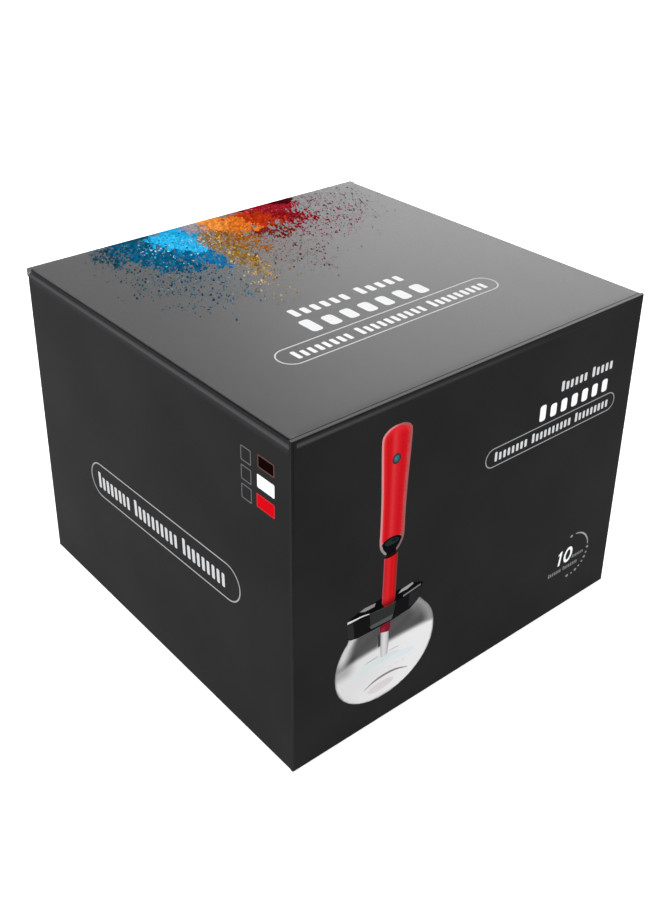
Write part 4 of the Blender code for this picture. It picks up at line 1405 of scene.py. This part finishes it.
def soften(profile, radius, closed=False):
    """Round the corners of a profile; its ends stay where they are unless it is closed."""
    result = []
    count = len(profile)
    for k, here in enumerate(profile):
        if not closed and k in (0, count - 1):
            result.append(here)
            continue
        before = Vector(profile[k - 1])
        after = Vector(profile[(k + 1) % count])
        middle = Vector(here)
        into = before - middle
        out = after - middle
        if into.length < 1e-6 or out.length < 1e-6 or into.angle(out) > math.radians(160):
            result.append(here)
            continue
        reach = min(radius, into.length * 0.45, out.length * 0.45)
        start = middle + into.normalized() * reach
        end = middle + out.normalized() * reach
        for step in range(4):
            t = step / 3
            point = start * (1 - t) ** 2 + middle * (2 * t * (1 - t)) + end * t * t
            result.append((point.x, point.y))
    return result


def lathe_mesh(name, profile, place, steps=72, closed=False, flutes=None, angle=35.0):
    """Turn an (r, height) profile; flutes can change the radius by angle and height."""
    bm = bmesh.new()
    rows = []
    for r, h in profile:
        if r < 1e-6:
            rows.append([bm.verts.new(Vector(place(0.0, 0.0, h)) * MM)])
            continue
        row = []
        for k in range(steps):
            turn = math.tau * k / steps
            radius = flutes(r, turn, h) if flutes else r
            row.append(bm.verts.new(Vector(place(radius, turn, h)) * MM))
        rows.append(row)
    for near, far in zip(rows, rows[1:] + rows[:1] if closed else rows[1:]):
        join_rings(bm, near, far)
    bmesh.ops.recalc_face_normals(bm, faces=bm.faces)
    return finish_mesh(name, bm, angle)


def loft(rings):
    """A closed skin through rings of the same number of points."""
    bm = bmesh.new()
    rows = [[bm.verts.new(Vector(point) * MM) for point in ring] for ring in rings]
    for near, far in zip(rows, rows[1:]):
        join_rings(bm, near, far)
    bm.faces.new(rows[0])
    bm.faces.new(rows[-1])
    bmesh.ops.recalc_face_normals(bm, faces=bm.faces)
    return bm


def box_mesh(name, low, high, corner=0.0):
    """A block between two corners, with its upright edges rounded."""
    if corner:
        outline = rounded_box(low[0], low[1], high[0], high[1], corner)
    else:
        outline = [(low[0], low[1]), (high[0], low[1]), (high[0], high[1]), (low[0], high[1])]
    return plain_mesh(name, loft([[(x, y, z) for x, y in outline] for z in (low[2], high[2])]))


def carve(name, start, steps):
    """The mesh left after boolean steps of (operation, meshes), in order."""
    item = bpy.data.objects.new(name + "_work", start)
    SCENE.collection.objects.link(item)
    made = [item]
    groups = []
    for number, (operation, meshes) in enumerate(steps):
        group = bpy.data.collections.new(f"{name}_tools_{number}")
        SCENE.collection.children.link(group)
        groups.append(group)
        for mesh in meshes:
            tool = bpy.data.objects.new(mesh.name, mesh)
            group.objects.link(tool)
            made.append(tool)
        step = item.modifiers.new("carve", "BOOLEAN")
        step.operation = operation
        step.solver = "EXACT"
        step.operand_type = "COLLECTION"
        step.collection = group
    view = bpy.context.evaluated_depsgraph_get()
    result = bpy.data.meshes.new_from_object(item.evaluated_get(view))
    for thing in made:
        bpy.data.objects.remove(thing)
    for group in groups:
        bpy.data.collections.remove(group)
    result.name = name
    result.materials.clear()
    result.shade_smooth()
    result.set_sharp_from_angle(angle=math.radians(35))
    return result


# ---------------------------------------------------------------- tray and bowl

# Outside of the tray's sheet, the sheet itself, and a height that is clear above it
TRAY_LOW = (-77.9, -77.9, 3.8)
TRAY_HIGH = (77.9, 76.3, 72.0)
TRAY_WALL = 1.0
CLEAR_ABOVE = 82

# The bowl is part of a ball that is a little flattened; heights are above its foot
BOWL_AT = (19.9, 18.3, 5.1)
BOWL_RADIUS = 56.0
BOWL_HALF_HEIGHT = 50.3
BOWL_CENTRE = 45.1
BOWL_WALL = 2.2
BOWL_FLOOR = 2.6
BOWL_RIM = 96.0
NECK_RADIUS = 37.5
POCKET_GAP = 0.6

# Collars: those in a row, then two loose ones as (diameter, x, y)
COLLAR_ROW = (18.0, 16.5, 15.0, 14.0, 13.0, 12.0)
COLLAR_ROW_AT = (-38.0, -49.9)
COLLAR_GAP = 3.5
LOOSE_COLLARS = ((11.0, 56.0, -69.0), (10.0, 70.0, -69.0))
COLLAR_FLOOR = 60.0


def collar_places():
    places = []
    x, y = COLLAR_ROW_AT
    for diameter in COLLAR_ROW:
        places.append((diameter, x + diameter / 2, y))
        x += diameter + COLLAR_GAP
    return places + list(LOOSE_COLLARS)


def pocket_tools(prefix, grow):
    """Every hollow of the tray, grown by the film's thickness for its underside."""
    radius = BOWL_RADIUS + POCKET_GAP + grow
    half_height = BOWL_HALF_HEIGHT + POCKET_GAP + grow
    middle = BOWL_AT[2] + BOWL_CENTRE
    floor = TRAY_LOW[2] + TRAY_WALL - grow
    profile = [(0, CLEAR_ABOVE), (radius, CLEAR_ABOVE)]
    for k in range(15):
        z = middle + (floor - middle) * k / 14
        profile.append((radius * math.sqrt(1 - ((z - middle) / half_height) ** 2), z))
    profile.append((0, floor))
    tools = [lathe_mesh(prefix + "_bowl", profile, upright((BOWL_AT[0], BOWL_AT[1], 0)), 96)]
    for name, low, high in (("handle", (-75.2, -76.4, 56.6), (-42.4, 74.8)),
                            ("spindle", (-39.2, -77.0, 63.0), (42.2, -61.0))):
        base = (low[0] - grow, low[1] - grow, low[2] - grow)
        tools.append(box_mesh(f"{prefix}_{name}", base,
                              (high[0] + grow, high[1] + grow, CLEAR_ABOVE), corner=2.0 + grow))
    for number, (diameter, x, y) in enumerate(collar_places(), 1):
        size = diameter / 2 + 0.4 + grow
        floor = COLLAR_FLOOR - grow
        shape = [(0, floor), (size, floor), (size, CLEAR_ABOVE), (0, CLEAR_ABOVE)]
        tools.append(lathe_mesh(f"{prefix}_{number}", shape, upright((x, y, 0)), 36))
    return tools


def tray():
    """One formed sheet: a block less its pockets, and less the same a wall's thickness in."""
    block = box_mesh("tray", TRAY_LOW, TRAY_HIGH, corner=2.0)
    core = box_mesh("core", (TRAY_LOW[0] + TRAY_WALL, TRAY_LOW[1] + TRAY_WALL, -5.0),
                    [value - TRAY_WALL for value in TRAY_HIGH], corner=1.5)
    hollow = carve("hollow", core, [("DIFFERENCE", pocket_tools("grown", TRAY_WALL))])
    mesh = carve("formed_tray", block, [("DIFFERENCE", pocket_tools("pocket", 0.0)),
                                        ("DIFFERENCE", [hollow])])
    item = kit_piece("formed_tray", mesh, FILM, "carton", "tray")
    bevel(item, 0.45, segments=3, angle=50.0)


def bowl_line(inset, low, high, rows):
    """The bowl's wall from high down to low; inset is 0 outside and its wall inside."""
    heights = [high + (low - high) * k / rows for k in range(rows + 1)]
    half_height = BOWL_HALF_HEIGHT - inset
    return [((BOWL_RADIUS - inset) * math.sqrt(1 - ((z - BOWL_CENTRE) / half_height) ** 2), z)
            for z in heights]


def bowl():
    rim = [(NECK_RADIUS, BOWL_RIM), (38.3, 95.3), (38.3, 94.4), (NECK_RADIUS, 94.0)]
    inner_neck = NECK_RADIUS - BOWL_WALL
    profile = soften(rim, 0.4) + bowl_line(0.0, 0.0, 82.5, 40) + [(0.0, 0.0), (0.0, BOWL_FLOOR)]
    profile += bowl_line(BOWL_WALL, BOWL_FLOOR, 81.5, 38)[::-1]
    profile += [(inner_neck, 83.5), (inner_neck, 95.4), (inner_neck + 0.8, BOWL_RIM)]
    mesh = lathe_mesh("wash_bowl", profile, upright(BOWL_AT), 128)
    bm = bmesh.new()
    bm.from_mesh(mesh)
    bmesh.ops.holes_fill(bm, edges=[edge for edge in bm.edges if edge.is_boundary])
    bm.to_mesh(mesh)
    bm.free()
    kit_piece("wash_bowl", mesh, GLASS, "carton", "glass_bowl")


def splash_ring():
    """The black ring that clips over the bowl's rim, ribbed for the hand, and its gasket."""
    skirt = 41.0
    profile = [(40.2, 101.0), (41.6, 99.6), (41.6, 97.0), (skirt, 96.0), (skirt, 83.5),
               (38.8, 83.5), (38.8, 98.0), (26.6, 98.0), (26.6, 94.0), (25.0, 94.0),
               (25.0, 100.5), (25.5, 101.0), (27.0, 101.0), (28.4, 100.0), (38.4, 100.0),
               (39.0, 101.0)]

    def ribs(r, angle, h):
        if r < skirt - 0.1 or h > 95.6:
            return r
        wave = 0.5 + 0.5 * math.cos(60 * angle)
        return r - 0.45 * wave ** 3

    # the ribs start and end on levels of their own along the skirt
    rounded = soften(profile, 0.5, closed=True)
    foot = next(k for k, (_, h) in enumerate(rounded) if h < 85)
    rounded[foot:foot] = [(skirt, 95.0), (skirt, 85.0)]
    mesh = lathe_mesh("splash_guard", rounded, upright(BOWL_AT), 360, closed=True, flutes=ribs)
    kit_piece("splash_guard", mesh, BLACK, "splash_ring", "splash_ring")
    seal = soften([(38.2, 97.7), (38.2, 96.3), (34.6, 96.3), (34.6, 97.7)], 0.5, closed=True)
    mesh = lathe_mesh("guard_gasket", seal, upright(BOWL_AT), 96, closed=True)
    kit_piece("guard_gasket", mesh, RUBBER, "splash_ring", "ring_gasket")


# ---------------------------------------------------------------- handle

# u runs along the handle from nose to tail, w across it; sections are (u, half width, half
# depth), and the shells meet just above the middle
HANDLE_AT = (-58.8, -70.0, 70.0)
HANDLE_SECTIONS = ((1, 8.5, 8.2), (4, 10.4, 9.9), (8, 12.0, 11.2), (13, 13.0, 11.9),
                   (20, 13.2, 12.0), (45, 13.4, 12.1), (70, 13.7, 12.3), (90, 14.6, 12.5),
                   (105, 15.4, 12.7), (112, 15.6, 12.6), (117, 14.6, 11.6), (120, 11.5, 9.2),
                   (122, 6.0, 5.0))
SQUARENESS = 2.6
SHELL_WALL = 1.8
SPLIT = 0.7
GAP = 0.3
SCREW_U = 57
SCREW_W = 6
BUTTON_U = 89.5
LENS_U = 72


def handle_ring(u, half_width, half_depth, count=72):
    """A section of the handle: an ellipse that is squared a little."""
    ring = []
    for k in range(count):
        angle = math.tau * k / count
        across = math.copysign(abs(math.cos(angle)) ** (2 / SQUARENESS), math.cos(angle))
        out = math.copysign(abs(math.sin(angle)) ** (2 / SQUARENESS), math.sin(angle))
        ring.append((HANDLE_AT[0] + half_width * across, HANDLE_AT[1] + u,
                     HANDLE_AT[2] + half_depth * out))
    return ring


def handle_rings(inset=0.0, wall=0.0):
    """Sections of the handle's outside, or of its inside when there is a wall."""
    rows = []
    for number, (u, a, b) in enumerate(HANDLE_SECTIONS):
        end = number >= len(HANDLE_SECTIONS) - 2
        if wall and end:
            continue
        shift = inset if end else 0.0
        rows.append((u - shift, a - inset - wall, b - wall))
    if wall:
        rows.append((119.6 - inset, 8.5 - inset, 6.4))
    fine = curve_through(rows, 4)
    if wall:
        fine.insert(0, (-2.0, fine[0][1], fine[0][2]))
    return [handle_ring(*row) for row in fine]


def handle_block(name, low, high, corner=0.0):
    return box_mesh(name, tuple(HANDLE_AT[k] + low[k] for k in range(3)),
                    tuple(HANDLE_AT[k] + high[k] for k in range(3)), corner)


def handle_pin(name, radius, low, high, w, u, steps=40):
    shape = [(0, low), (radius, low), (radius, high), (0, high)]
    return lathe_mesh(name, shape, upright((HANDLE_AT[0] + w, HANDLE_AT[1] + u, HANDLE_AT[2])),
                      steps)


def screw_pins(*pins):
    """The same pins, as (name, radius, low, high, steps), at both of the handle's screws."""
    return [handle_pin(f"{name}_{w}", radius, low, high, w, SCREW_U, steps)
            for w in (-SCREW_W, SCREW_W) for name, radius, low, high, steps in pins]


def handle_shell(name, material, body, node, inset, steps, rounding):
    """A shell that is carved from the handle's whole form.

    Each step is (operation, pieces), where "inside" stands for the form's inside.
    """
    outside = finish_mesh(name + "_outside", loft(handle_rings(inset)))
    inside = finish_mesh(name + "_inside", loft(handle_rings(inset, SHELL_WALL)))
    steps = [(operation, [inside if tool == "inside" else tool for tool in tools])
             for operation, tools in steps]
    item = kit_piece(name, carve(name, outside, steps), material, body, node)
    bevel(item, rounding, segments=3 if material == RED else 2, angle=50.0)


def shells():
    above = handle_block("above", (-20, -10, SPLIT), (20, 130, 20))
    doorway = handle_block("door", (-11.3, 61.7, -20), (11.3, 130, -4.7))
    screw_seats = screw_pins(("recess", 2.2, -13, -9.0, 28), ("hole", 1.2, -10, -6.0, 20))
    handle_shell("shell_back", SILVER, "handle", "rear_shell", 0.0,
                 [("DIFFERENCE", ["inside", above, doorway]),
                  ("UNION", screw_pins(("pad", 2.8, -10.25, -7.0, 28))),
                  ("DIFFERENCE", screw_seats)], 0.25)

    below = handle_block("below", (-20, -10, -20), (20, 130, SPLIT + GAP))
    nose = handle_block("nose", (-20, -10, -20), (20, 14, 20))
    button_hole = handle_pin("button_hole", 6.2, 5, 20, 0, BUTTON_U, 64)
    lens_hole = handle_pin("lens_hole", 1.5, 5, 20, 0, LENS_U, 32)
    handle_shell("shell_front", RED, "handle", "front_shell", 1.0,
                 [("DIFFERENCE", ["inside", below, nose, button_hole, lens_hole]),
                  ("UNION", screw_pins(("boss", 2.2, -6.7, 10.2, 28))),
                  ("DIFFERENCE", screw_pins(("boss_hole", 1.2, -8, 4.4, 20)))], 0.3)

    door = handle_block("cover_door", (-11, 62, -20), (11, 130, -5.0))
    grips = [handle_block(f"grip_{k}", (-6, 70 + 2.2 * k, -20), (6, 70.9 + 2.2 * k, -12.0), 0.4)
             for k in range(6)]
    handle_shell("cell_cover", SILVER, "battery_cover", "battery_cover", 0.0,
                 [("INTERSECT", [door]), ("DIFFERENCE", ["inside"]), ("DIFFERENCE", grips)], 0.2)


def handle_fittings():
    """The nose and its seal, the button and its ring, and the lamp's lens."""
    at_nose = along_y(HANDLE_AT)
    at_button = upright((HANDLE_AT[0], HANDLE_AT[1] + BUTTON_U, HANDLE_AT[2]))
    at_lens = upright((HANDLE_AT[0], HANDLE_AT[1] + LENS_U, HANDLE_AT[2]))
    cone = [(9.8, 17), (9.8, 12), (9.2, 8), (7.9, 4), (6.3, 1), (4.9, 1), (4.9, 4), (6.3, 4),
            (6.3, 17)]
    seal = [(6.0, 7.0), (6.0, 4.3), (4.85, 4.3), (4.85, 7.0)]
    cap = [(0, 12.95), (1.6, 13.0), (2.5, 13.25), (3.1, 13.4), (3.7, 13.4), (4.2, 12.9),
           (4.2, 9.8), (5.4, 9.8), (5.4, 9.0), (0, 9.0)]
    ring = [(5.5, 12.9), (5.9, 12.5), (5.9, 10.9), (4.6, 10.9), (4.6, 12.6), (4.9, 12.9)]
    lens = [(0, 12.6), (0.45, 12.58), (0.85, 12.45), (1.2, 12.1), (1.2, 10.0), (0, 10.0)]
    for name, profile, rounding, place, steps, material, body, node in (
            ("handle_nose", cone, 0.5, at_nose, 72, BLACK, "handle", "nose_cone"),
            ("handle_seal", seal, 0.25, at_nose, 64, RUBBER, "handle", "nose_seal"),
            ("button_cap", cap, 0.3, at_button, 64, TEAL, "power_button", "power_button"),
            ("button_ring", ring, 0.2, at_button, 64, BLACK, "handle", "button_bezel"),
            ("lens_dome", lens, 0.0, at_lens, 32, TEAL, "handle", "led_lens")):
        closed = profile[0][0] > 0
        if rounding:
            profile = soften(profile, rounding, closed)
        kit_piece(name, lathe_mesh(name, profile, place, steps, closed), material, body, node)


# ---------------------------------------------------------------- spindle and collars

SPINDLE_AT = (-25.0, -69.0, 71.0)
SPINDLE_LENGTH = 66.0


def spindle_place(r, angle, h):
    return (SPINDLE_AT[0] + h, SPINDLE_AT[1] + r * math.sin(angle),
            SPINDLE_AT[2] - r * math.cos(angle))


def spindle():
    """A tube with twelve shallow flutes and a socket in its far end."""
    length = SPINDLE_LENGTH

    def flutes(r, angle, h):
        if r < 6.0 or not 1.2 < h < length - 1.2:
            return r
        return r - 0.4 * (1 - math.cos(12 * angle)) / 2

    profile = [(0, 0), (6.6, 0), (7.1, 0.5), (7.1, 1.2), (7.5, 1.6), (7.5, length - 1.6),
               (7.1, length - 1.2), (7.1, length - 0.5), (6.7, length), (4.7, length),
               (4.2, length - 0.5), (4.2, length - 16), (0, length - 16)]
    mesh = lathe_mesh("fluted_spindle", profile, spindle_place, 192, flutes=flutes, angle=50)
    kit_piece("fluted_spindle", mesh, RED, "spindle", "spindle_tube")


def collars():
    """Rubber cups with three soft beads round the outside."""
    for number, (diameter, x, y) in enumerate(collar_places(), 1):
        radius = diameter / 2
        bore = radius - 1.6
        groove = radius - 0.45
        profile = [(0, 0), (3.5, 0), (3.9, 0.4), (3.9, 6.9), (radius - 0.9, 9.3),
                   (radius, 10.3), (radius, 11.4)]
        for bead in range(3):
            low = 11.8 + bead * 2.4
            profile += [(groove, low), (groove, low + 0.8), (radius, low + 1.3),
                        (radius, low + 1.9)]
        profile += [(radius, 19.6), (radius - 0.4, 20.0), (bore + 0.4, 20.0), (bore, 19.6),
                    (bore, 12.5), (bore * 0.7, 10.5), (0, 10.5)]
        name = f"rubber_collar_{number}"
        place = upright((x, y, COLLAR_FLOOR + 0.5))
        mesh = lathe_mesh(name, soften(profile, 0.3), place, 64, angle=45)
        kit_piece(name, mesh, RUBBER, "carton", f"collar_{number}")


# ---------------------------------------------------------------- pieces kept from the CAD

KEPT = (
    (BLACK, ("drive_coupler", "tact_switch", "motor_end_cap", "spindle_plug")),
    (RUBBER, ("motor_mount_ring",)),
    (STEEL, ("motor_can", "motor_shaft", "shell_screw_1", "shell_screw_2",
             "battery_spring_1", "battery_spring_2")),
    (CONTACT, ("contact_plus", "contact_minus", "contact_bridge")),
    (CIRCUIT, ("circuit_board",)),
    (WRAP, ("battery_1", "battery_2")),
    (FERRITE, ("motor_rotor", "motor_magnet_1", "motor_magnet_2")),
)


def kept_nodes():
    """Sealed and small pieces keep their CAD shape, with worn-in edges and a real finish."""
    for material, names in KEPT:
        for name in names:
            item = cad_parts[name]
            for slot in item.material_slots:
                slot.material = material
            if "spring" not in name:
                bevel(item, 0.12, segments=2, angle=40.0)


tray()
bowl()
splash_ring()
shells()
handle_fittings()
spindle()
collars()
kept_nodes()


# ---------------------------------------------------------------- floor, light and camera

def studio():
    """A white floor that curves up behind the object, in metres."""
    bm = bmesh.new()
    half = 4.0
    far = 3.5
    rows = [(-3.0, 0.0), (far, 0.0)]
    rows += [(far + math.sin(angle), 1 - math.cos(angle)) for angle in quarter(12)[1:]]
    rows.append((far + 1.0, 3.0))
    turn = Matrix.Rotation(math.radians(AZIMUTH), 4, "Z")
    lines = []
    for y, z in rows:
        lines.append([bm.verts.new(turn @ Vector((x, y, z - 0.0002))) for x in (-half, half)])
    for near, far_line in zip(lines, lines[1:]):
        bm.faces.new((near[0], near[1], far_line[1], far_line[0]))
    mesh = plain_mesh("studio_floor", bm)
    mesh.shade_smooth()
    floor = bpy.data.objects.new("studio_floor", mesh)
    SCENE.collection.objects.link(floor)
    shader = Shader("studio_paper")
    mottle = shader.noise(shader.rest(), 0.002, 2.0)
    tint = shader.mix(mottle, (0.9, 0.9, 0.9), (0.92, 0.92, 0.92))
    shader.set(Base_Color=tint, Roughness=0.9, Specular_IOR_Level=0.1,
               Emission_Color=(1.0, 1.0, 1.0), Emission_Strength=0.7)
    mesh.materials.append(shader.material)


def soft_box(name, place, target, size, power):
    """A rectangular lamp that faces the target, in metres and watts."""
    data = bpy.data.lights.new(name, "AREA")
    data.shape = "RECTANGLE"
    data.size = size[0]
    data.size_y = size[1]
    data.energy = power
    item = bpy.data.objects.new(name, data)
    item.location = place
    aim = Vector(target) - Vector(place)
    item.rotation_euler = aim.to_track_quat("-Z", "Y").to_euler()
    SCENE.collection.objects.link(item)


# The camera looks down at the corner between the front and the left face: its angles in
# degrees, its lens in millimetres, its shift, and its place right, up and back in metres
AZIMUTH = -38.84
ELEVATION = 27.37
LENS = 45.716
SHIFT = (0.0333, -0.1046)
CAMERA_AT = (-0.00997, 0.0851, 0.4749)


def camera():
    a = math.radians(AZIMUTH)
    e = math.radians(ELEVATION)
    right = Vector((math.cos(a), math.sin(a), 0))
    back = Vector((math.sin(a) * math.cos(e), -math.cos(a) * math.cos(e), math.sin(e)))
    up = Vector((-math.sin(a) * math.sin(e), math.cos(a) * math.sin(e), math.cos(e)))
    data = bpy.data.cameras.new("camera")
    data.sensor_fit = "AUTO"
    data.sensor_width = 36.0
    data.lens = LENS
    data.shift_x, data.shift_y = SHIFT
    data.clip_start = 0.01
    data.clip_end = 30.0
    item = bpy.data.objects.new("camera", data)
    place = right * CAMERA_AT[0] + up * CAMERA_AT[1] + back * CAMERA_AT[2]
    item.matrix_world = Matrix.Translation(place) @ \
        Matrix((right, up, back)).transposed().to_4x4()
    SCENE.collection.objects.link(item)
    SCENE.camera = item


def sky():
    """White down at the horizon, where it meets the floor, and a little dimmer overhead."""
    world = bpy.data.worlds.new("studio_sky")
    world.use_nodes = True
    tree = world.node_tree
    background = tree.nodes["Background"]
    background.inputs["Color"].default_value = (1.0, 1.0, 1.0, 1.0)
    where = tree.nodes.new("ShaderNodeTexCoord")
    split = tree.nodes.new("ShaderNodeSeparateXYZ")
    height = tree.nodes.new("ShaderNodeMapRange")
    height.interpolation_type = "SMOOTHSTEP"
    height.inputs["From Max"].default_value = 0.3
    height.inputs["To Min"].default_value = 1.0
    height.inputs["To Max"].default_value = 0.74
    tree.links.new(where.outputs["Generated"], split.inputs["Vector"])
    tree.links.new(split.outputs["Z"], height.inputs["Value"])
    tree.links.new(height.outputs["Result"], background.inputs["Strength"])
    SCENE.world = world


studio()
sky()
# behind and to the right, low enough to lie along the lid's mirror direction
soft_box("back_soft_box", (1.32, 0.8, 0.72), (0.02, 0.0, 0.12), (1.3, 0.9), 11.0)
soft_box("left_fill", (-1.6, 0.1, 0.9), (0.0, 0.0, 0.06), (1.2, 1.0), 14.0)
camera()
SCENE.view_settings.view_transform = "Standard"
SCENE.view_settings.look = "None"
